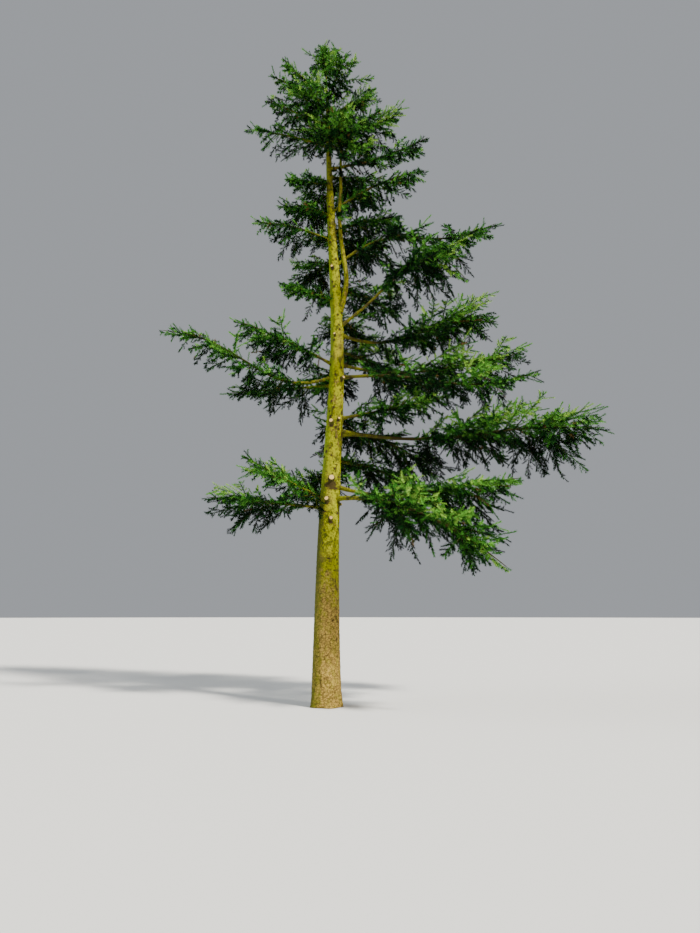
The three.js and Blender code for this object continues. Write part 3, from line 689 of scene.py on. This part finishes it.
def add_piece(name, surface, materials, nodes=(), material_of=None, values=None, smooth=True,
              spots=None):
    """Puts points in millimetres and triangles into a mesh in metres, and rides it on the tree's one body.

    Values holds named numbers for each point, spots holds a place on the picture plane for each point.
    """
    points, faces = surface
    mesh = bpy.data.meshes.new(name)
    mesh.vertices.add(len(points))
    mesh.vertices.foreach_set("co", (points * METRES).astype(np.float32).ravel())
    mesh.loops.add(faces.size)
    mesh.loops.foreach_set("vertex_index", faces.astype(np.int32).ravel())
    mesh.polygons.add(len(faces))
    mesh.polygons.foreach_set("loop_start", np.arange(0, faces.size, 3, dtype=np.int32))
    mesh.polygons.foreach_set("use_smooth", np.full(len(faces), smooth))
    for material in materials:
        mesh.materials.append(material)
    if material_of is not None:
        mesh.polygons.foreach_set("material_index", material_of.astype(np.int32))
    for key, numbers in (values or {}).items():
        mesh.attributes.new(key, "FLOAT", "POINT").data.foreach_set("value", numbers.astype(np.float32))
    if spots is not None:
        flat = spots[faces.ravel()].astype(np.float32)
        mesh.uv_layers.new(name="spots").data.foreach_set("uv", flat.ravel())
    mesh.update(calc_edges=True)
    piece = placed(name, mesh)
    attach(piece, "root")
    if nodes:
        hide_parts(*nodes)
    return piece


def waves(angle, height, count, turns, pitch, seed):
    """A smooth field round a stem: a sum of cosines of whole turns of the angle and of height."""
    random = np.random.default_rng(seed)
    field = np.zeros(np.broadcast(angle, height).shape)
    for _ in range(count):
        around = random.integers(turns[0], turns[1] + 1) * random.choice([-1, 1])
        upward = 2 * math.pi / (pitch[0] + (pitch[1] - pitch[0]) * random.random())
        field += np.cos(around * angle + upward * height + random.random() * 2 * math.pi)
    return field / math.sqrt(count)


def bumps(angle, height, radius, rows):
    """Round swellings on a stem: the sum of out exp(-(across / width)^2 - (up / tall)^2) over rows of
    height, turn, width, tall and out, where across is the arc from the row's turn."""
    rise, mark = np.zeros(radius.shape), np.zeros(radius.shape)
    for at, turn, wide, tall, out in rows:
        near = np.abs(height[:, 0] - at) < 4 * tall
        across = (angle[0] - math.radians(turn) + math.pi) % (2 * math.pi) - math.pi
        shape = np.exp(-((across * radius[near] / wide) ** 2) - ((height[near] - at) / tall) ** 2)
        rise[near] += out * shape
        mark[near] = np.maximum(mark[near], shape)
    return rise, mark


def stem_surface(heights, middle_at, radius_at, sides, relief, rows, knots, seed):
    """A standing stem's closed skin: middle(z) + (radius(z) + furrows + swellings) (cos a, sin a).

    The furrows are relief times how near a smooth field is to nought, to the power of 1.5.
    """
    angle = np.arange(sides)[None] * 2 * math.pi / sides
    height = heights[:, None]
    radius = radius_at(height, angle)
    furrow = np.clip(1 - np.abs(waves(angle, height, *PLATES, seed)) * 2.2, 0, 1) ** 1.5
    fine = waves(angle, height, *FINE_PLATES, seed + 1)
    thick = np.clip(radius / 240, 0.25, 1)
    swelling, mark = bumps(angle, height, radius, rows)
    # The knots' rows also hold the painted shadow under and round each stub and the flat dark marks, which
    # stand out by nothing
    knot_rise, knot_and_shadow_mark = bumps(angle, height, radius, knots)
    radius = radius + swelling + knot_rise + relief * thick * (0.6 * fine - 2.0 * furrow + 0.4)
    middle = middle_at(heights)[:, None]
    circle = np.stack([np.cos(angle), np.sin(angle), np.zeros_like(angle)], axis=-1)
    points = (middle + radius[..., None] * circle).reshape(-1, 3)
    points = np.concatenate([points, middle[[0, -1], 0]])
    # The first value also darkens every hollow by 0.6 of its shape, as painted shade
    values = {"furrow": furrow, "knot_and_shadow": knot_and_shadow_mark + 0.6 * mark * (swelling < 0),
              # How far a point faces left, which the bark uses for painted shade on that side
              "left": np.clip(-np.cos(angle), 0, 1) * np.ones_like(radius)}
    values = {key: np.append(numbers.ravel(), [0.0, 0.0]) for key, numbers in values.items()}
    return (points, skin_faces(len(heights), sides)), values


# Materials

class Amount:
    """A number that changes over a surface. Arithmetic on it adds Math nodes."""

    def __init__(self, shader, socket):
        self.shader = shader
        self.socket = socket

    def combined(self, operation, *values):
        """A Math node over this and other numbers."""
        return self.shader.amount("ShaderNodeMath", {"operation": operation}, dict(enumerate(values)))

    def __add__(self, other):
        return self.combined("ADD", self, other)

    def __sub__(self, other):
        return self.combined("SUBTRACT", self, other)

    def __rsub__(self, other):
        return self.combined("SUBTRACT", other, self)

    def __mul__(self, other):
        return self.combined("MULTIPLY", self, other)

    __radd__ = __add__
    __rmul__ = __mul__

    def clipped(self):
        """Kept between 0 and 1."""
        return self.shader.amount("ShaderNodeClamp", {}, {"Value": self})

    def step(self, low, high):
        """0 below low, 1 above high and an even rise between."""
        sockets = {"Value": self, "From Min": low, "From Max": high}
        return self.shader.amount("ShaderNodeMapRange", {"clamp": True}, sockets)


class Shader:
    """A material with one Principled shader, and one way of adding nodes."""

    def __init__(self, name, roughness=0.8, specular=0.3):
        self.material = bpy.data.materials.new(name)
        self.material.use_nodes = True
        self.tree = self.material.node_tree
        self.tree.nodes.clear()
        output = self.tree.nodes.new("ShaderNodeOutputMaterial")
        self.surface = self.tree.nodes.new("ShaderNodeBsdfPrincipled")
        self.tree.links.new(self.surface.outputs[0], output.inputs["Surface"])
        self.set(self.surface, {"Roughness": roughness, "Specular IOR Level": specular})

    def set(self, node, sockets):
        """Gives each named socket of a node its value, or a link where the value is another node's output."""
        for key, value in sockets.items():
            value = getattr(value, "socket", value)
            if isinstance(value, bpy.types.NodeSocket):
                self.tree.links.new(value, node.inputs[key])
            else:
                node.inputs[key].default_value = solid(value) if node.inputs[key].type == "RGBA" else value

    def node(self, kind, settings, sockets):
        """A node of a kind, with its settings made first and then its sockets."""
        node = self.tree.nodes.new(kind)
        for key, value in settings.items():
            setattr(node, key, value)
        self.set(node, sockets)
        return node

    def amount(self, kind, settings, sockets, output=0):
        """One output of a new node, as a number that changes over the surface."""
        return Amount(self, self.node(kind, settings, sockets).outputs[output])

    def place(self):
        """The piece's own place, in metres."""
        return self.node("ShaderNodeTexCoord", {}, {}).outputs["Object"]

    def moved(self, upright, seed):
        """The piece's own place, drawn out upwards by a number and shifted by a seed."""
        sockets = {"Vector": self.place(), "Scale": (1, 1, upright), "Location": (seed, 0, 0)}
        return self.node("ShaderNodeMapping", {}, sockets).outputs[0]

    def noise(self, scale, upright, detail, rough, seed=0.0):
        """Noise in features to the metre, with upright times as many of them upwards."""
        sockets = {"Vector": self.moved(upright, seed), "Scale": scale, "Detail": detail, "Roughness": rough}
        return self.amount("ShaderNodeTexNoise", {}, sockets)

    def cells(self, scale, upright, seed):
        """How far each place is from the edge of its cell, in cells to the metre."""
        sockets = {"Vector": self.moved(upright, seed), "Scale": scale, "Randomness": 0.85}
        return self.amount("ShaderNodeTexVoronoi", {"feature": "DISTANCE_TO_EDGE"}, sockets, "Distance")

    def value(self, name):
        """A named number of the mesh."""
        return self.amount("ShaderNodeAttribute", {"attribute_name": name}, {}, "Fac")

    def along(self, axis):
        """The piece's own place along an axis, in metres."""
        return self.amount("ShaderNodeSeparateXYZ", {}, {"Vector": self.place()}, axis)

    def mix(self, factor, first, second):
        """A colour between two others."""
        return self.node("ShaderNodeMix", {"data_type": "RGBA"}, {0: factor, 6: first, 7: second}).outputs[2]

    def finish(self, skin, roughness, height, strength, distance):
        """Gives the surface its colour, its roughness and a bump by height, and returns the material."""
        sockets = {"Height": height, "Strength": strength, "Distance": distance}
        bump = self.node("ShaderNodeBump", {}, sockets)
        self.set(self.surface, {"Base Color": skin, "Roughness": roughness, "Normal": bump.outputs[0]})
        return self.material


def solid(colour):
    """A colour with full cover."""
    return (*colour, 1.0)


# Shares of the moss's red, green and blue for the painted shade on the trunk's left side, high up
LEFT_SHADE_MOSS = (0.95, 1.30, 1.8)


def bark_shader(name, look, moss_from, moss_share, shade_from):
    """Bark: bare below, mossy above a ragged height, with plates, lines and knots, and with painted shade on
    the left side, in the crown, in hollows and under and round the stubs.
    """
    shader = Shader(name, roughness=0.85, specular=0.1)
    patches = shader.noise(2.4, 0.55, 5.0, 0.62)
    mottle = shader.noise(11.0, 0.7, 5.0, 0.65, seed=2.0)
    plates = shader.noise(30.0, 0.85, 5.0, 0.6, seed=3.0)
    dashes = shader.noise(24.0, 4.0, 4.0, 0.6, seed=6.0)
    specks = shader.noise(95.0, 0.8, 3.0, 0.6, seed=8.0)
    cells = shader.cells(11.0, 1.7, seed=4.0)
    uneven = specks - 0.5
    dark = look.bark_dark
    # How far a place lies on the stem's left side, away from the key light, for painted shade there
    left = (shader.value("left") + (mottle - 0.5) * 0.9).step(0.25, 0.95)
    height = shader.along(2) + (patches - 0.5) * 2.2 + (mottle - 0.5) * 1.0
    mossy = height.step(moss_from - 0.35, moss_from + 0.55) * moss_share
    cover = (mossy * (patches * 0.6 + mottle * 0.4).step(0.34, 0.44)).clipped()
    bare = shader.mix(plates.step(0.40, 0.56), shader.mix(0.60, look.bark, dark), look.bark)
    # Bare bark takes patches of the moss's colour, and more of it on the left side as painted shade
    bare = shader.mix((mottle.step(0.46, 0.62) * 0.35 + left * 0.4).clipped(), bare, look.moss)
    bare = shader.mix((1.0 - (cells + uneven * 0.06).step(0.02, 0.11)) * 0.6, bare, dark)
    # The moss counts as thinner on the left side, so that it darkens there as painted shade
    thick = mottle * 0.6 + plates * 0.4 - left * 0.10
    moss = shader.mix(thick.step(0.43, 0.53), look.dark_moss_and_shade, look.moss)
    moss = shader.mix(patches.step(0.52, 0.66) * 0.20, moss, look.bark)
    high = cover * (shader.along(2) + (patches - 0.5) * 2.0).step(3.3, 4.5)
    # The tint of the painted shade on the left side, high up
    green = [part * share for part, share in zip(look.moss, LEFT_SHADE_MOSS)]
    # Painted shade of the crown: the bark darkens upwards from shade_from, over a ragged 2.4 m
    shaded = (shader.along(2) + (patches - 0.5) * 1.6).step(shade_from, shade_from + 2.4)
    skin = shader.mix(cover, bare, moss)
    for share, tone in (
            # Painted shade on the left side: dark moss low down, and a greener, bluer moss high up
            (left * (0.84 - high * 0.84), look.dark_moss_and_shade), (left * high * 0.70, green),
            (dashes.step(0.55, 0.63) * 0.70, dark),
            ((shader.value("furrow") + uneven * 0.8).step(0.35, 1.1) * 0.45, dark),
            (specks.step(0.58, 0.72) * 0.30, dark),
            # Painted shade of the crown, between dark moss and dark bark
            (shaded * 0.60, shader.mix(0.5, look.dark_moss_and_shade, dark)),
            # Knots, dark marks, the painted shadow under and round the stubs and the painted shade in hollows
            # darken the bark
            ((shader.value("knot_and_shadow") + uneven * 0.3).step(0.22, 0.6) * 0.94, dark)):
        skin = shader.mix(share, skin, tone)
    return shader.finish(skin, 0.95 - cover * 0.12, plates * 0.6 + dashes * 0.2 + specks * 0.2, 0.7, 0.014)


def limb_bark_shader(name, look, moss_share):
    """Bark of boughs and twigs: mossy close to the trunk, and dark brown further out."""
    shader = Shader(name, roughness=0.85, specular=0.15)
    patches = shader.noise(5.0, 1, 4.0, 0.6)
    grain = shader.noise(60.0, 1, 4.0, 0.65, seed=5.0)
    across = shader.along(0) * shader.along(0) + shader.along(1) * shader.along(1)
    dark, damp = look.bark_dark, look.dark_moss_and_shade
    bare = shader.mix(grain.step(0.35, 0.65), dark, shader.mix(0.55, damp, dark))
    moss = shader.mix(grain.step(0.36, 0.58), damp, look.moss)
    ragged = patches + (grain - 0.5) * 0.5
    cover = (1.0 - across.step(0.20, 1.6)) * ragged.step(0.38, 0.56)
    skin = shader.mix(cover * moss_share, shader.mix(ragged.step(0.50, 0.64) * 0.5, bare, damp), moss)
    return shader.finish(skin, 0.92 - grain * 0.12, grain, 0.5, 0.006)


def cut_wood_shader(name, look):
    """Sawn wood: growth rings round the middle of the cut, an uneven tone and a darker rim."""
    shader = Shader(name, roughness=0.7, specular=0.3)
    place = shader.node("ShaderNodeUVMap", {"uv_map": "spots"}, {}).outputs[0]
    distance = shader.amount("ShaderNodeVectorMath", {"operation": "LENGTH"}, {0: place}, "Value")
    grain = shader.noise(70.0, 1, 3.0, 0.6)
    uneven = grain - 0.5
    rings = (distance + uneven * 0.05) * 60.0
    rings = rings.combined("SINE", rings)
    worn = [part * 0.55 for part in look.cut]
    wood = shader.mix((rings * 0.25 + 0.3 + uneven * 0.9).clipped(), look.cut, worn)
    wood = shader.mix((distance + uneven * 0.1).step(0.84, 0.97) * 0.8, wood, look.bark_dark)
    return shader.finish(wood, 0.6 + grain * 0.3, rings * 0.3 + grain, 0.3, 0.002)


def plain_shader(name, colour, roughness, specular):
    """One plain colour."""
    shader = Shader(name, roughness=roughness, specular=specular)
    shader.set(shader.surface, {"Base Color": colour})
    return shader.material


@functools.cache
def limb_bark():
    """The bark that boughs and twigs share."""
    return limb_bark_shader("bough bark", bpy.context.scene.cedar_trunk, 0.6)


# Pieces

def trunk_knots(count):
    """Small scars on the near side, scattered by a seed: height, turn, width, tall and out."""
    random = np.random.default_rng(21)
    heights = KNOTS["from"] + KNOTS["range"] * (np.arange(count) + random.random(count)) / max(count, 1)
    turns = KNOTS["turn"] + KNOTS["spread"] * (2 * random.random(count) - 1)
    sizes = KNOTS["least"] + KNOTS["more"] * random.random(count)
    return [(at, turn, size, size * 1.1, size * 0.42) for at, turn, size in zip(heights, turns, sizes)]


def trunk_collars():
    """A swelling where each limb and each stub leaves the trunk: height, turn, width, tall and out."""
    rows = []
    for limb in LIMBS:
        if limb["height"] < TRUNK_TOP - 100 and not limb["offset"]:
            girth = limb["girth"]
            width = girth * 0.75
            rows.append((limb["height"] - width * 0.2, limb["turn"], width, width * 1.2, girth * 0.16))
    for height, turn, width, _ in STUBS:
        rows.append((height, turn, width * 0.75, width * 0.95, width * 0.18))
    return rows


def trunk_shadows_and_marks():
    """Painted shadow under each stub and painted shade round it, and the dark marks on the bark."""
    rows = []
    for height, turn, width, _ in STUBS:
        # Painted shadow under the stub
        rows.append((height - width * 0.75, turn, width * 0.62, width * 0.62, 0))
        # Painted shade round the stub
        rows.append((height, turn, width * 0.66, width * 0.70, 0))
    return rows + [(*dark_mark, 0) for dark_mark in SHADOWS_AND_DARK_MARKS]


class CEDAR_OT_trunk(bpy.types.Operator):
    """Builds the trunk, with its root flare, its bark's plates, its knots and the collars of its boughs."""

    bl_idname = "cedar.trunk"
    bl_label = "Trunk"

    def execute(self, context):
        look = context.scene.cedar_trunk
        rings, sides = 520, 64

        def radius_at(height, angle):
            lobe = ROOT_LOBES["depth"] * np.exp(-height / ROOT_LOBES["height"])
            return trunk_radius(height) * (1 + lobe * np.cos(ROOT_LOBES["count"] * angle))

        surface, values = stem_surface(
            TRUNK_TOP * np.linspace(0, 1, rings) ** RING_POWER, trunk_line, radius_at, sides,
            look.relief / METRES, trunk_collars() + SCARS, trunk_knots(look.knots) + trunk_shadows_and_marks(), 5)
        # The painted shade of the crown on the trunk begins at 8.6 m
        material = bark_shader("trunk bark", look, look.moss_from, 1.0, 8.6)
        add_piece("trunk_bark", surface, [material], ["trunk"], values=values)
        return {"FINISHED"}


def second_middle(height):
    """The second stem's middle line: a smooth offset from the trunk's, joined through its stated places."""
    offsets, heights = np.array(SECOND_ROUTE, dtype=float).T
    slopes = np.gradient(offsets, heights)
    index = np.clip(np.searchsorted(heights, height) - 1, 0, len(heights) - 2)
    step = heights[index + 1] - heights[index]
    part = (height - heights[index]) / step
    smooth = 3 * part ** 2 - 2 * part ** 3
    bend = (1 - part) * slopes[index] - part * slopes[index + 1]
    offset = (1 - smooth) * offsets[index] + smooth * offsets[index + 1] + step * part * (1 - part) * bend
    return heading_of(SECOND_TURN) * offset[:, None] + trunk_line(height)


class CEDAR_OT_second_stem(bpy.types.Operator):
    """Builds the second stem, which leaves the trunk's right side and runs up beside it."""

    bl_idname = "cedar.second_stem"
    bl_label = "Second Stem"

    def execute(self, context):
        look = context.scene.cedar_trunk
        foot, top = SECOND_ROUTE[0][1], SECOND_ROUTE[-1][1]
        rings, sides = 180, 24

        def radius_at(height, angle):
            part = (height - foot) / (top - foot)
            width = SECOND_WIDTH["foot"] + (SECOND_WIDTH["tip"] - SECOND_WIDTH["foot"]) * part
            return (width + 30 * np.exp(-(height - foot) / 220)) / 2 * np.ones_like(angle)

        surface, values = stem_surface(
            np.linspace(foot, top, rings), second_middle, radius_at, sides, look.relief / METRES, [], [], 9)
        # The painted shade of the crown on the second stem begins at 7.7 m
        material = bark_shader("second stem bark", look, look.moss_from, 0.8, 7.7)
        add_piece("second_stem_bark", surface, [material], ["second_stem"], values=values)
        return {"FINISHED"}


class CEDAR_OT_stubs(bpy.types.Operator):
    """Builds the cut stubs: a tapering peg with bark, and a pale sawn face with growth rings."""

    bl_idname = "cedar.stubs"
    bl_label = "Cut Stubs"

    def execute(self, context):
        look = context.scene.cedar_trunk
        height, turn, width, length = np.array(STUBS, dtype=float).T
        tilt = math.radians(STUB_TILT)
        out = heading_of(turn) * math.cos(tilt) + UP * math.sin(tilt)
        radius = trunk_radius(height)
        root = trunk_line(height) - UP * (radius * math.tan(tilt))[:, None]
        reach = radius + length
        parts = np.array([0.55, 0.72, 0.82, 0.90, 0.97, 0.995, 1.0])
        paths = root[:, None] + out[:, None] * (reach[:, None] * parts)[..., None]
        foot = STUB_FOOT + (1 - STUB_FOOT) * parts
        radii = width[:, None] / 2 * foot * np.array([1.3, 1.25, 1.1, 1.0, 1.0, 1.0, 0.94])
        material = limb_bark_shader("stub bark", look, 0.15)
        add_piece("stub_bark", tubes(paths, radii, 22), [material])
        sides, rings = 24, 4
        left, above = sideways(out)
        angles = np.arange(sides) * 2 * math.pi / sides
        shares = np.linspace(0, 1, rings + 1)[1:, None]
        spots = np.stack([np.cos(angles) * shares, np.sin(angles) * shares], axis=-1).reshape(-1, 2)
        spots = np.concatenate([[[0.0, 0.0]], spots])
        lift = 0.6 + 2.0 * (1 - (spots ** 2).sum(-1))
        across = spots[None] * (width / 2 * 0.95)[:, None, None]
        points = (root + out * reach[:, None])[:, None] + left[:, None] * across[..., :1]
        points = points + above[:, None] * across[..., 1:] + out[:, None] * lift[None, :, None]
        faces = np.concatenate([fan(0, 1, sides), 1 + wall_faces(rings, sides)[:, ::-1]])
        add_piece("stub_cuts", repeated(points, faces), [cut_wood_shader("cut wood", look)],
                  spots=np.tile(spots, (len(STUBS), 1)))
        return {"FINISHED"}


def limb_tube(number, ring_step, sides):
    """A limb's skin from inside the trunk to its tip, with a collar at its foot and an uneven width."""
    limb = LIMBS[number]
    rings = max(8, round(limb["span"] / ring_step))
    part = np.linspace(0.0, 1.0, rings)
    paths = limb_point(limb, part)
    distance = part * limb["span"] - float(trunk_radius(limb["height"]))
    swell = waves(0.0, part * limb["span"], LIMB_WAVES["count"], (0, 0), LIMB_WAVES["pitch"], number)
    uneven = 1 + LIMB_WAVES["share"] * swell
    collar = 1 + COLLAR["share"] * np.exp(-np.clip(distance, 0, None) / COLLAR["length"])
    radii = limb_radius(limb, part) * uneven * collar
    radii[-1] *= 0.3
    return tubes(paths[None], radii[None], sides)


class CEDAR_OT_boughs(bpy.types.Operator):
    """Builds every limb, from the trunk to its tip: the bare boughs and the stems inside the foliage."""

    bl_idname = "cedar.boughs"
    bl_label = "Boughs"

    def execute(self, context):
        for name, bare, ring_step, sides in (("boughs", True, 45, 14), ("slim_limbs", False, 60, 9)):
            chosen = [number for number, limb in enumerate(LIMBS) if (limb["bare"] > 0) == bare]
            surface = joined([limb_tube(number, ring_step, sides) for number in chosen])
            nodes = ["bough_" + LIMBS[number]["name"] for number in chosen if bare]
            add_piece(name, surface, [limb_bark()], nodes)
        return {"FINISHED"}


class CEDAR_OT_twigs(bpy.types.Operator):
    """Builds the twigs on the limbs, the middle of every spray, and the finest twigs on them."""

    bl_idname = "cedar.twigs"
    bl_label = "Twigs"

    def execute(self, context):
        parts = []
        twigs, sprays = growth()
        for rows, share, droop, rings, least, more, taper in (
                (twigs, TWIG_END, 0.0, 4, 3.0, 0.008, 0.45), (sprays, 1, SPRAY_DROOP, 3, 2.2, 0.004, 0.75)):
            root, heading, length = (each[:, None] for each in lines(rows))
            part = np.linspace(0, 1, rings)
            paths = points_along(root, heading, length * share, part, droop)
            parts.append(tubes(paths, (least + length * more) * (1 - taper * part), 3))
        add_piece("twigs", joined(parts), [limb_bark()])
        shown = fine_growth()[2] > SHORTEST_FINE_TWIG
        root, heading, length = (each[shown] for each in fine_growth()[:3])
        surface = spikes(root, heading, length, 1.2 + length * 0.006)
        add_piece("fine_twigs", surface, [limb_bark()], smooth=False)
        return {"FINISHED"}


def rosettes(root, heading, length, least, start, shift, share=1.0, droop=0.0):
    """Rosettes along straight lines, from a start to the end: place, the way along, the line and how far out.

    Each line holds at least a few of them, or as many as the tufts' step allows on a share of it.
    """
    step = bpy.context.scene.cedar_needles.tuft_step / METRES
    owner, place, among = dealt(length * share / step, least)
    part = start + (1 - start) * (place + shift) / among
    points = points_along(root[owner], heading[owner], length[owner], part, droop)
    return points, heading[owner], owner, part


def tufts():
    """Every rosette of needles: its place, the way along its twig, its spray, how far out it is, the small
    spray that it belongs to and the height of its limb."""
    twigs, sprays = growth()
    root, heading, length, spray, foot, _ = fine_growth()
    points, ways, owner, part = rosettes(root, heading, length, 2, 0.14, 0.5)
    rows = [(points, ways, spray[owner], part, owner, foot[owner])]
    first = len(length)
    points, ways, owner, part = rosettes(*lines(sprays), 3, 0.2, 0.7, 0.8, SPRAY_DROOP)
    rows.append((points, ways, owner, part, first + owner, gathered(sprays, "foot")[owner]))
    first += len(sprays)
    root, heading, length = lines(twigs)
    points, ways, owner, part = rosettes(root, heading, length * TWIG_END, 1, 0, 0.5)
    spray = gathered(twigs, "spray").astype(int)
    rows.append((points, ways, spray[owner], part * 0, first + owner, root[owner, 2]))
    first += len(twigs)
    step = bpy.context.scene.cedar_needles.tuft_step / METRES
    limb_of_spray = gathered(sprays, "limb")
    for number, limb in enumerate(LIMBS):
        part = np.arange(limb["bare"] + (1 - limb["bare"]) * 0.08, limb["stem_end"], step / limb["span"])
        ends = np.full(len(part), np.searchsorted(limb_of_spray, number))
        points = limb_point(limb, part)
        rows.append((points, limb_along(limb, part), ends, part * 0, ends * 0 + first + number, points[:, 2]))
    return [np.concatenate(column) for column in zip(*rows)]


def needles(points, ways, parts, look, seed):
    """Rosettes of needles, each a thin blade from its root to root + length (way cos f + out sin f).

    Out goes evenly round the twig, and f is smaller towards its tip. A needle's foot is its widest part.
    """
    random = np.random.default_rng(seed)
    count, total = look.tuft, len(points)
    angle = 2 * math.pi * (np.arange(count)[None] / count + random.random((total, 1)))
    out = ways_round(ways, angle + 0.5 * (random.random((total, count)) - 0.5))
    lean = np.radians(NEEDLES["lean"] + NEEDLES["more_lean"] * random.random((total, count, 1)))
    lean = lean * (1 - NEEDLES["closing"] * parts ** 3)[:, None, None]
    way = ways[:, None] * np.cos(lean) + out * np.sin(lean)
    rolled = NEEDLES["roll"] * out * (random.random((total, count, 1)) - 0.5)
    across = unit(np.cross(way, ways[:, None]) + rolled)
    varied = NEEDLES["least"] + NEEDLES["more"] * random.random((total, count, 1))
    length = look.length / METRES * varied
    half = look.width / METRES / 2
    root = points[:, None] + np.zeros_like(way)
    tip = root + way * length
    corners = np.stack([root - across * half, root + across * half, tip], axis=2)
    return corners.reshape(-1, 3), np.arange(total * count * 3).reshape(-1, 3)


def tuft_tints(points, groups, sprays, feet):
    """The plain colour of each small spray, as painted light and shade: brighter above its limb, near the tip
    and on the near side.
    """
    random = np.random.default_rng(33)
    rows = growth()[1]
    root, heading, length = lines(rows)
    middle = root + heading * length[:, None] / 2
    near = np.clip(-middle[:, 1] / LIGHT["depth"], -1, 1)
    along = gathered(rows, "along") - 0.5
    scatter = LIGHT["scatter"] * (random.random(len(middle)) - 0.5)
    light = LIGHT["usual"] + LIGHT["near"] * near + LIGHT["out"] * along + scatter
    height = np.bincount(groups, points[:, 2] - feet) / np.maximum(np.bincount(groups), 1)
    own = OWN_LIGHT["above"] * np.clip(height / OWN_LIGHT["height"], -1, 1)
    own += OWN_LIGHT["scatter"] * (random.random(groups.max() + 1) - 0.5)
    spurs_from = fine_growth()[-1]
    own[spurs_from:] = own[spurs_from:] * OWN_LIGHT["spurs"] - OWN_LIGHT["darker"]
    tint = np.digitize(light[sprays] + own[groups], TINT_STEPS)
    dry = random.random(groups.max() + 1) < DRY_SHARE
    return np.where(dry[groups], len(TINT_STEPS) + 1, tint)


class CEDAR_OT_needles(bpy.types.Operator):
    """Builds the needles, joined by zone of the crown, with a plain colour dealt to each spray."""

    bl_idname = "cedar.needles"
    bl_label = "Needles"

    def execute(self, context):
        look, colours = context.scene.cedar_needles, context.scene.cedar_foliage
        materials = [plain_shader(f"{name} needles", getattr(colours, name), 0.80, 0.06)
                     for name in FoliageColours.__annotations__]
        points, ways, sprays, parts, groups, feet = tufts()
        limb_of_spray = gathered(growth()[1], "limb")
        tints = tuft_tints(points, groups, sprays, feet)
        for seed, (zone, members) in enumerate(ZONES.items(), start=100):
            numbers = [number for number, limb in enumerate(LIMBS)
                       if limb["name"] in members or limb["name"][:-2] in members]
            chosen = np.isin(limb_of_spray[sprays], numbers)
            surface = needles(points[chosen], ways[chosen], parts[chosen], look, seed)
            tint = np.repeat(tints[chosen], look.tuft)
            nodes = ["foliage_" + LIMBS[number]["name"] for number in numbers]
            add_piece("needles_" + zone, surface, materials, nodes, tint, smooth=False)
        return {"FINISHED"}


class CEDAR_OT_stage(bpy.types.Operator):
    """Sets the pale floor, the soft light and the camera."""

    bl_idname = "cedar.stage"
    bl_label = "Stage"

    def execute(self, context):
        look = context.scene.cedar_stage
        mesh = bpy.data.meshes.new("floor")
        sides, reach = 64, 260.0
        angles = np.arange(sides) * 2 * math.pi / sides
        rim = np.stack([np.cos(angles) * reach, np.sin(angles) * reach, np.full(sides, -0.002)], axis=-1)
        mesh.from_pydata(rim.tolist(), [], [list(range(sides))])
        mesh.materials.append(plain_shader("floor", look.floor, 0.9, 0.3))
        floor = placed("floor", mesh)
        world = bpy.data.worlds.new("surroundings")
        context.scene.world = world
        world.use_nodes = True
        background = world.node_tree.nodes["Background"]
        background.inputs["Color"].default_value = solid(look.sky)
        background.inputs["Strength"].default_value = look.sky_strength
        lights = {
            "key": (look.key_strength, 6, (1.0, 0.95, 0.86), (math.radians(46), 0.0, math.radians(48))),
            "fill": (2.3, 60, (0.90, 0.96, 1.0), (math.radians(62), 0.0, math.radians(-88))),
        }
        for name, (strength, spread, colour, turn) in lights.items():
            lamp = bpy.data.lights.new(name, "SUN")
            lamp.energy = strength
            lamp.angle = math.radians(spread)
            lamp.color = colour
            placed(name, lamp).rotation_euler = turn
        lens = bpy.data.cameras.new("camera")
        lens.sensor_width = 36
        lens.lens = lens.sensor_width * look.focal_share
        lens.clip_end = 1000
        camera = placed("camera", lens)
        camera.location = look.camera_place
        camera.rotation_euler = (math.radians(90) + look.camera_tilt, 0, 0)
        context.scene.camera = camera
        return {"FINISHED"}


OPERATORS = (CEDAR_OT_stage, CEDAR_OT_trunk, CEDAR_OT_second_stem, CEDAR_OT_stubs, CEDAR_OT_boughs,
             CEDAR_OT_twigs, CEDAR_OT_needles)
GROUPS = {"cedar_trunk": TrunkLook, "cedar_needles": NeedleLook, "cedar_foliage": FoliageColours,
          "cedar_stage": StageLook}


class CEDAR_PT_panel(bpy.types.Panel):
    """The sidebar panel that lists the pieces and their sizes and colours."""

    bl_idname = "CEDAR_PT_panel"
    bl_label = "Atlas Cedar"
    bl_space_type = "VIEW_3D"
    bl_region_type = "UI"
    bl_category = "Cedar"

    def draw(self, context):
        for operator in OPERATORS:
            self.layout.operator(operator.bl_idname)
        for key, group in GROUPS.items():
            box = self.layout.box()
            for name in group.__annotations__:
                box.prop(getattr(context.scene, key), name)


def register():
    """Registers the classes and gives the scene its groups of sizes and colours."""
    for each in (*GROUPS.values(), *OPERATORS, CEDAR_PT_panel):
        bpy.utils.register_class(each)
    for key, group in GROUPS.items():
        setattr(bpy.types.Scene, key, bpy.props.PointerProperty(type=group))


def unregister():
    """Takes the groups and the classes away again."""
    for key in GROUPS:
        delattr(bpy.types.Scene, key)
    for each in reversed((*GROUPS.values(), *OPERATORS, CEDAR_PT_panel)):
        bpy.utils.unregister_class(each)


def main():
    """Builds the stage and every piece."""
    register()
    for operator in OPERATORS:
        group, name = operator.bl_idname.split(".")
        getattr(getattr(bpy.ops, group), name)()


if __name__ == "__main__":
    main()
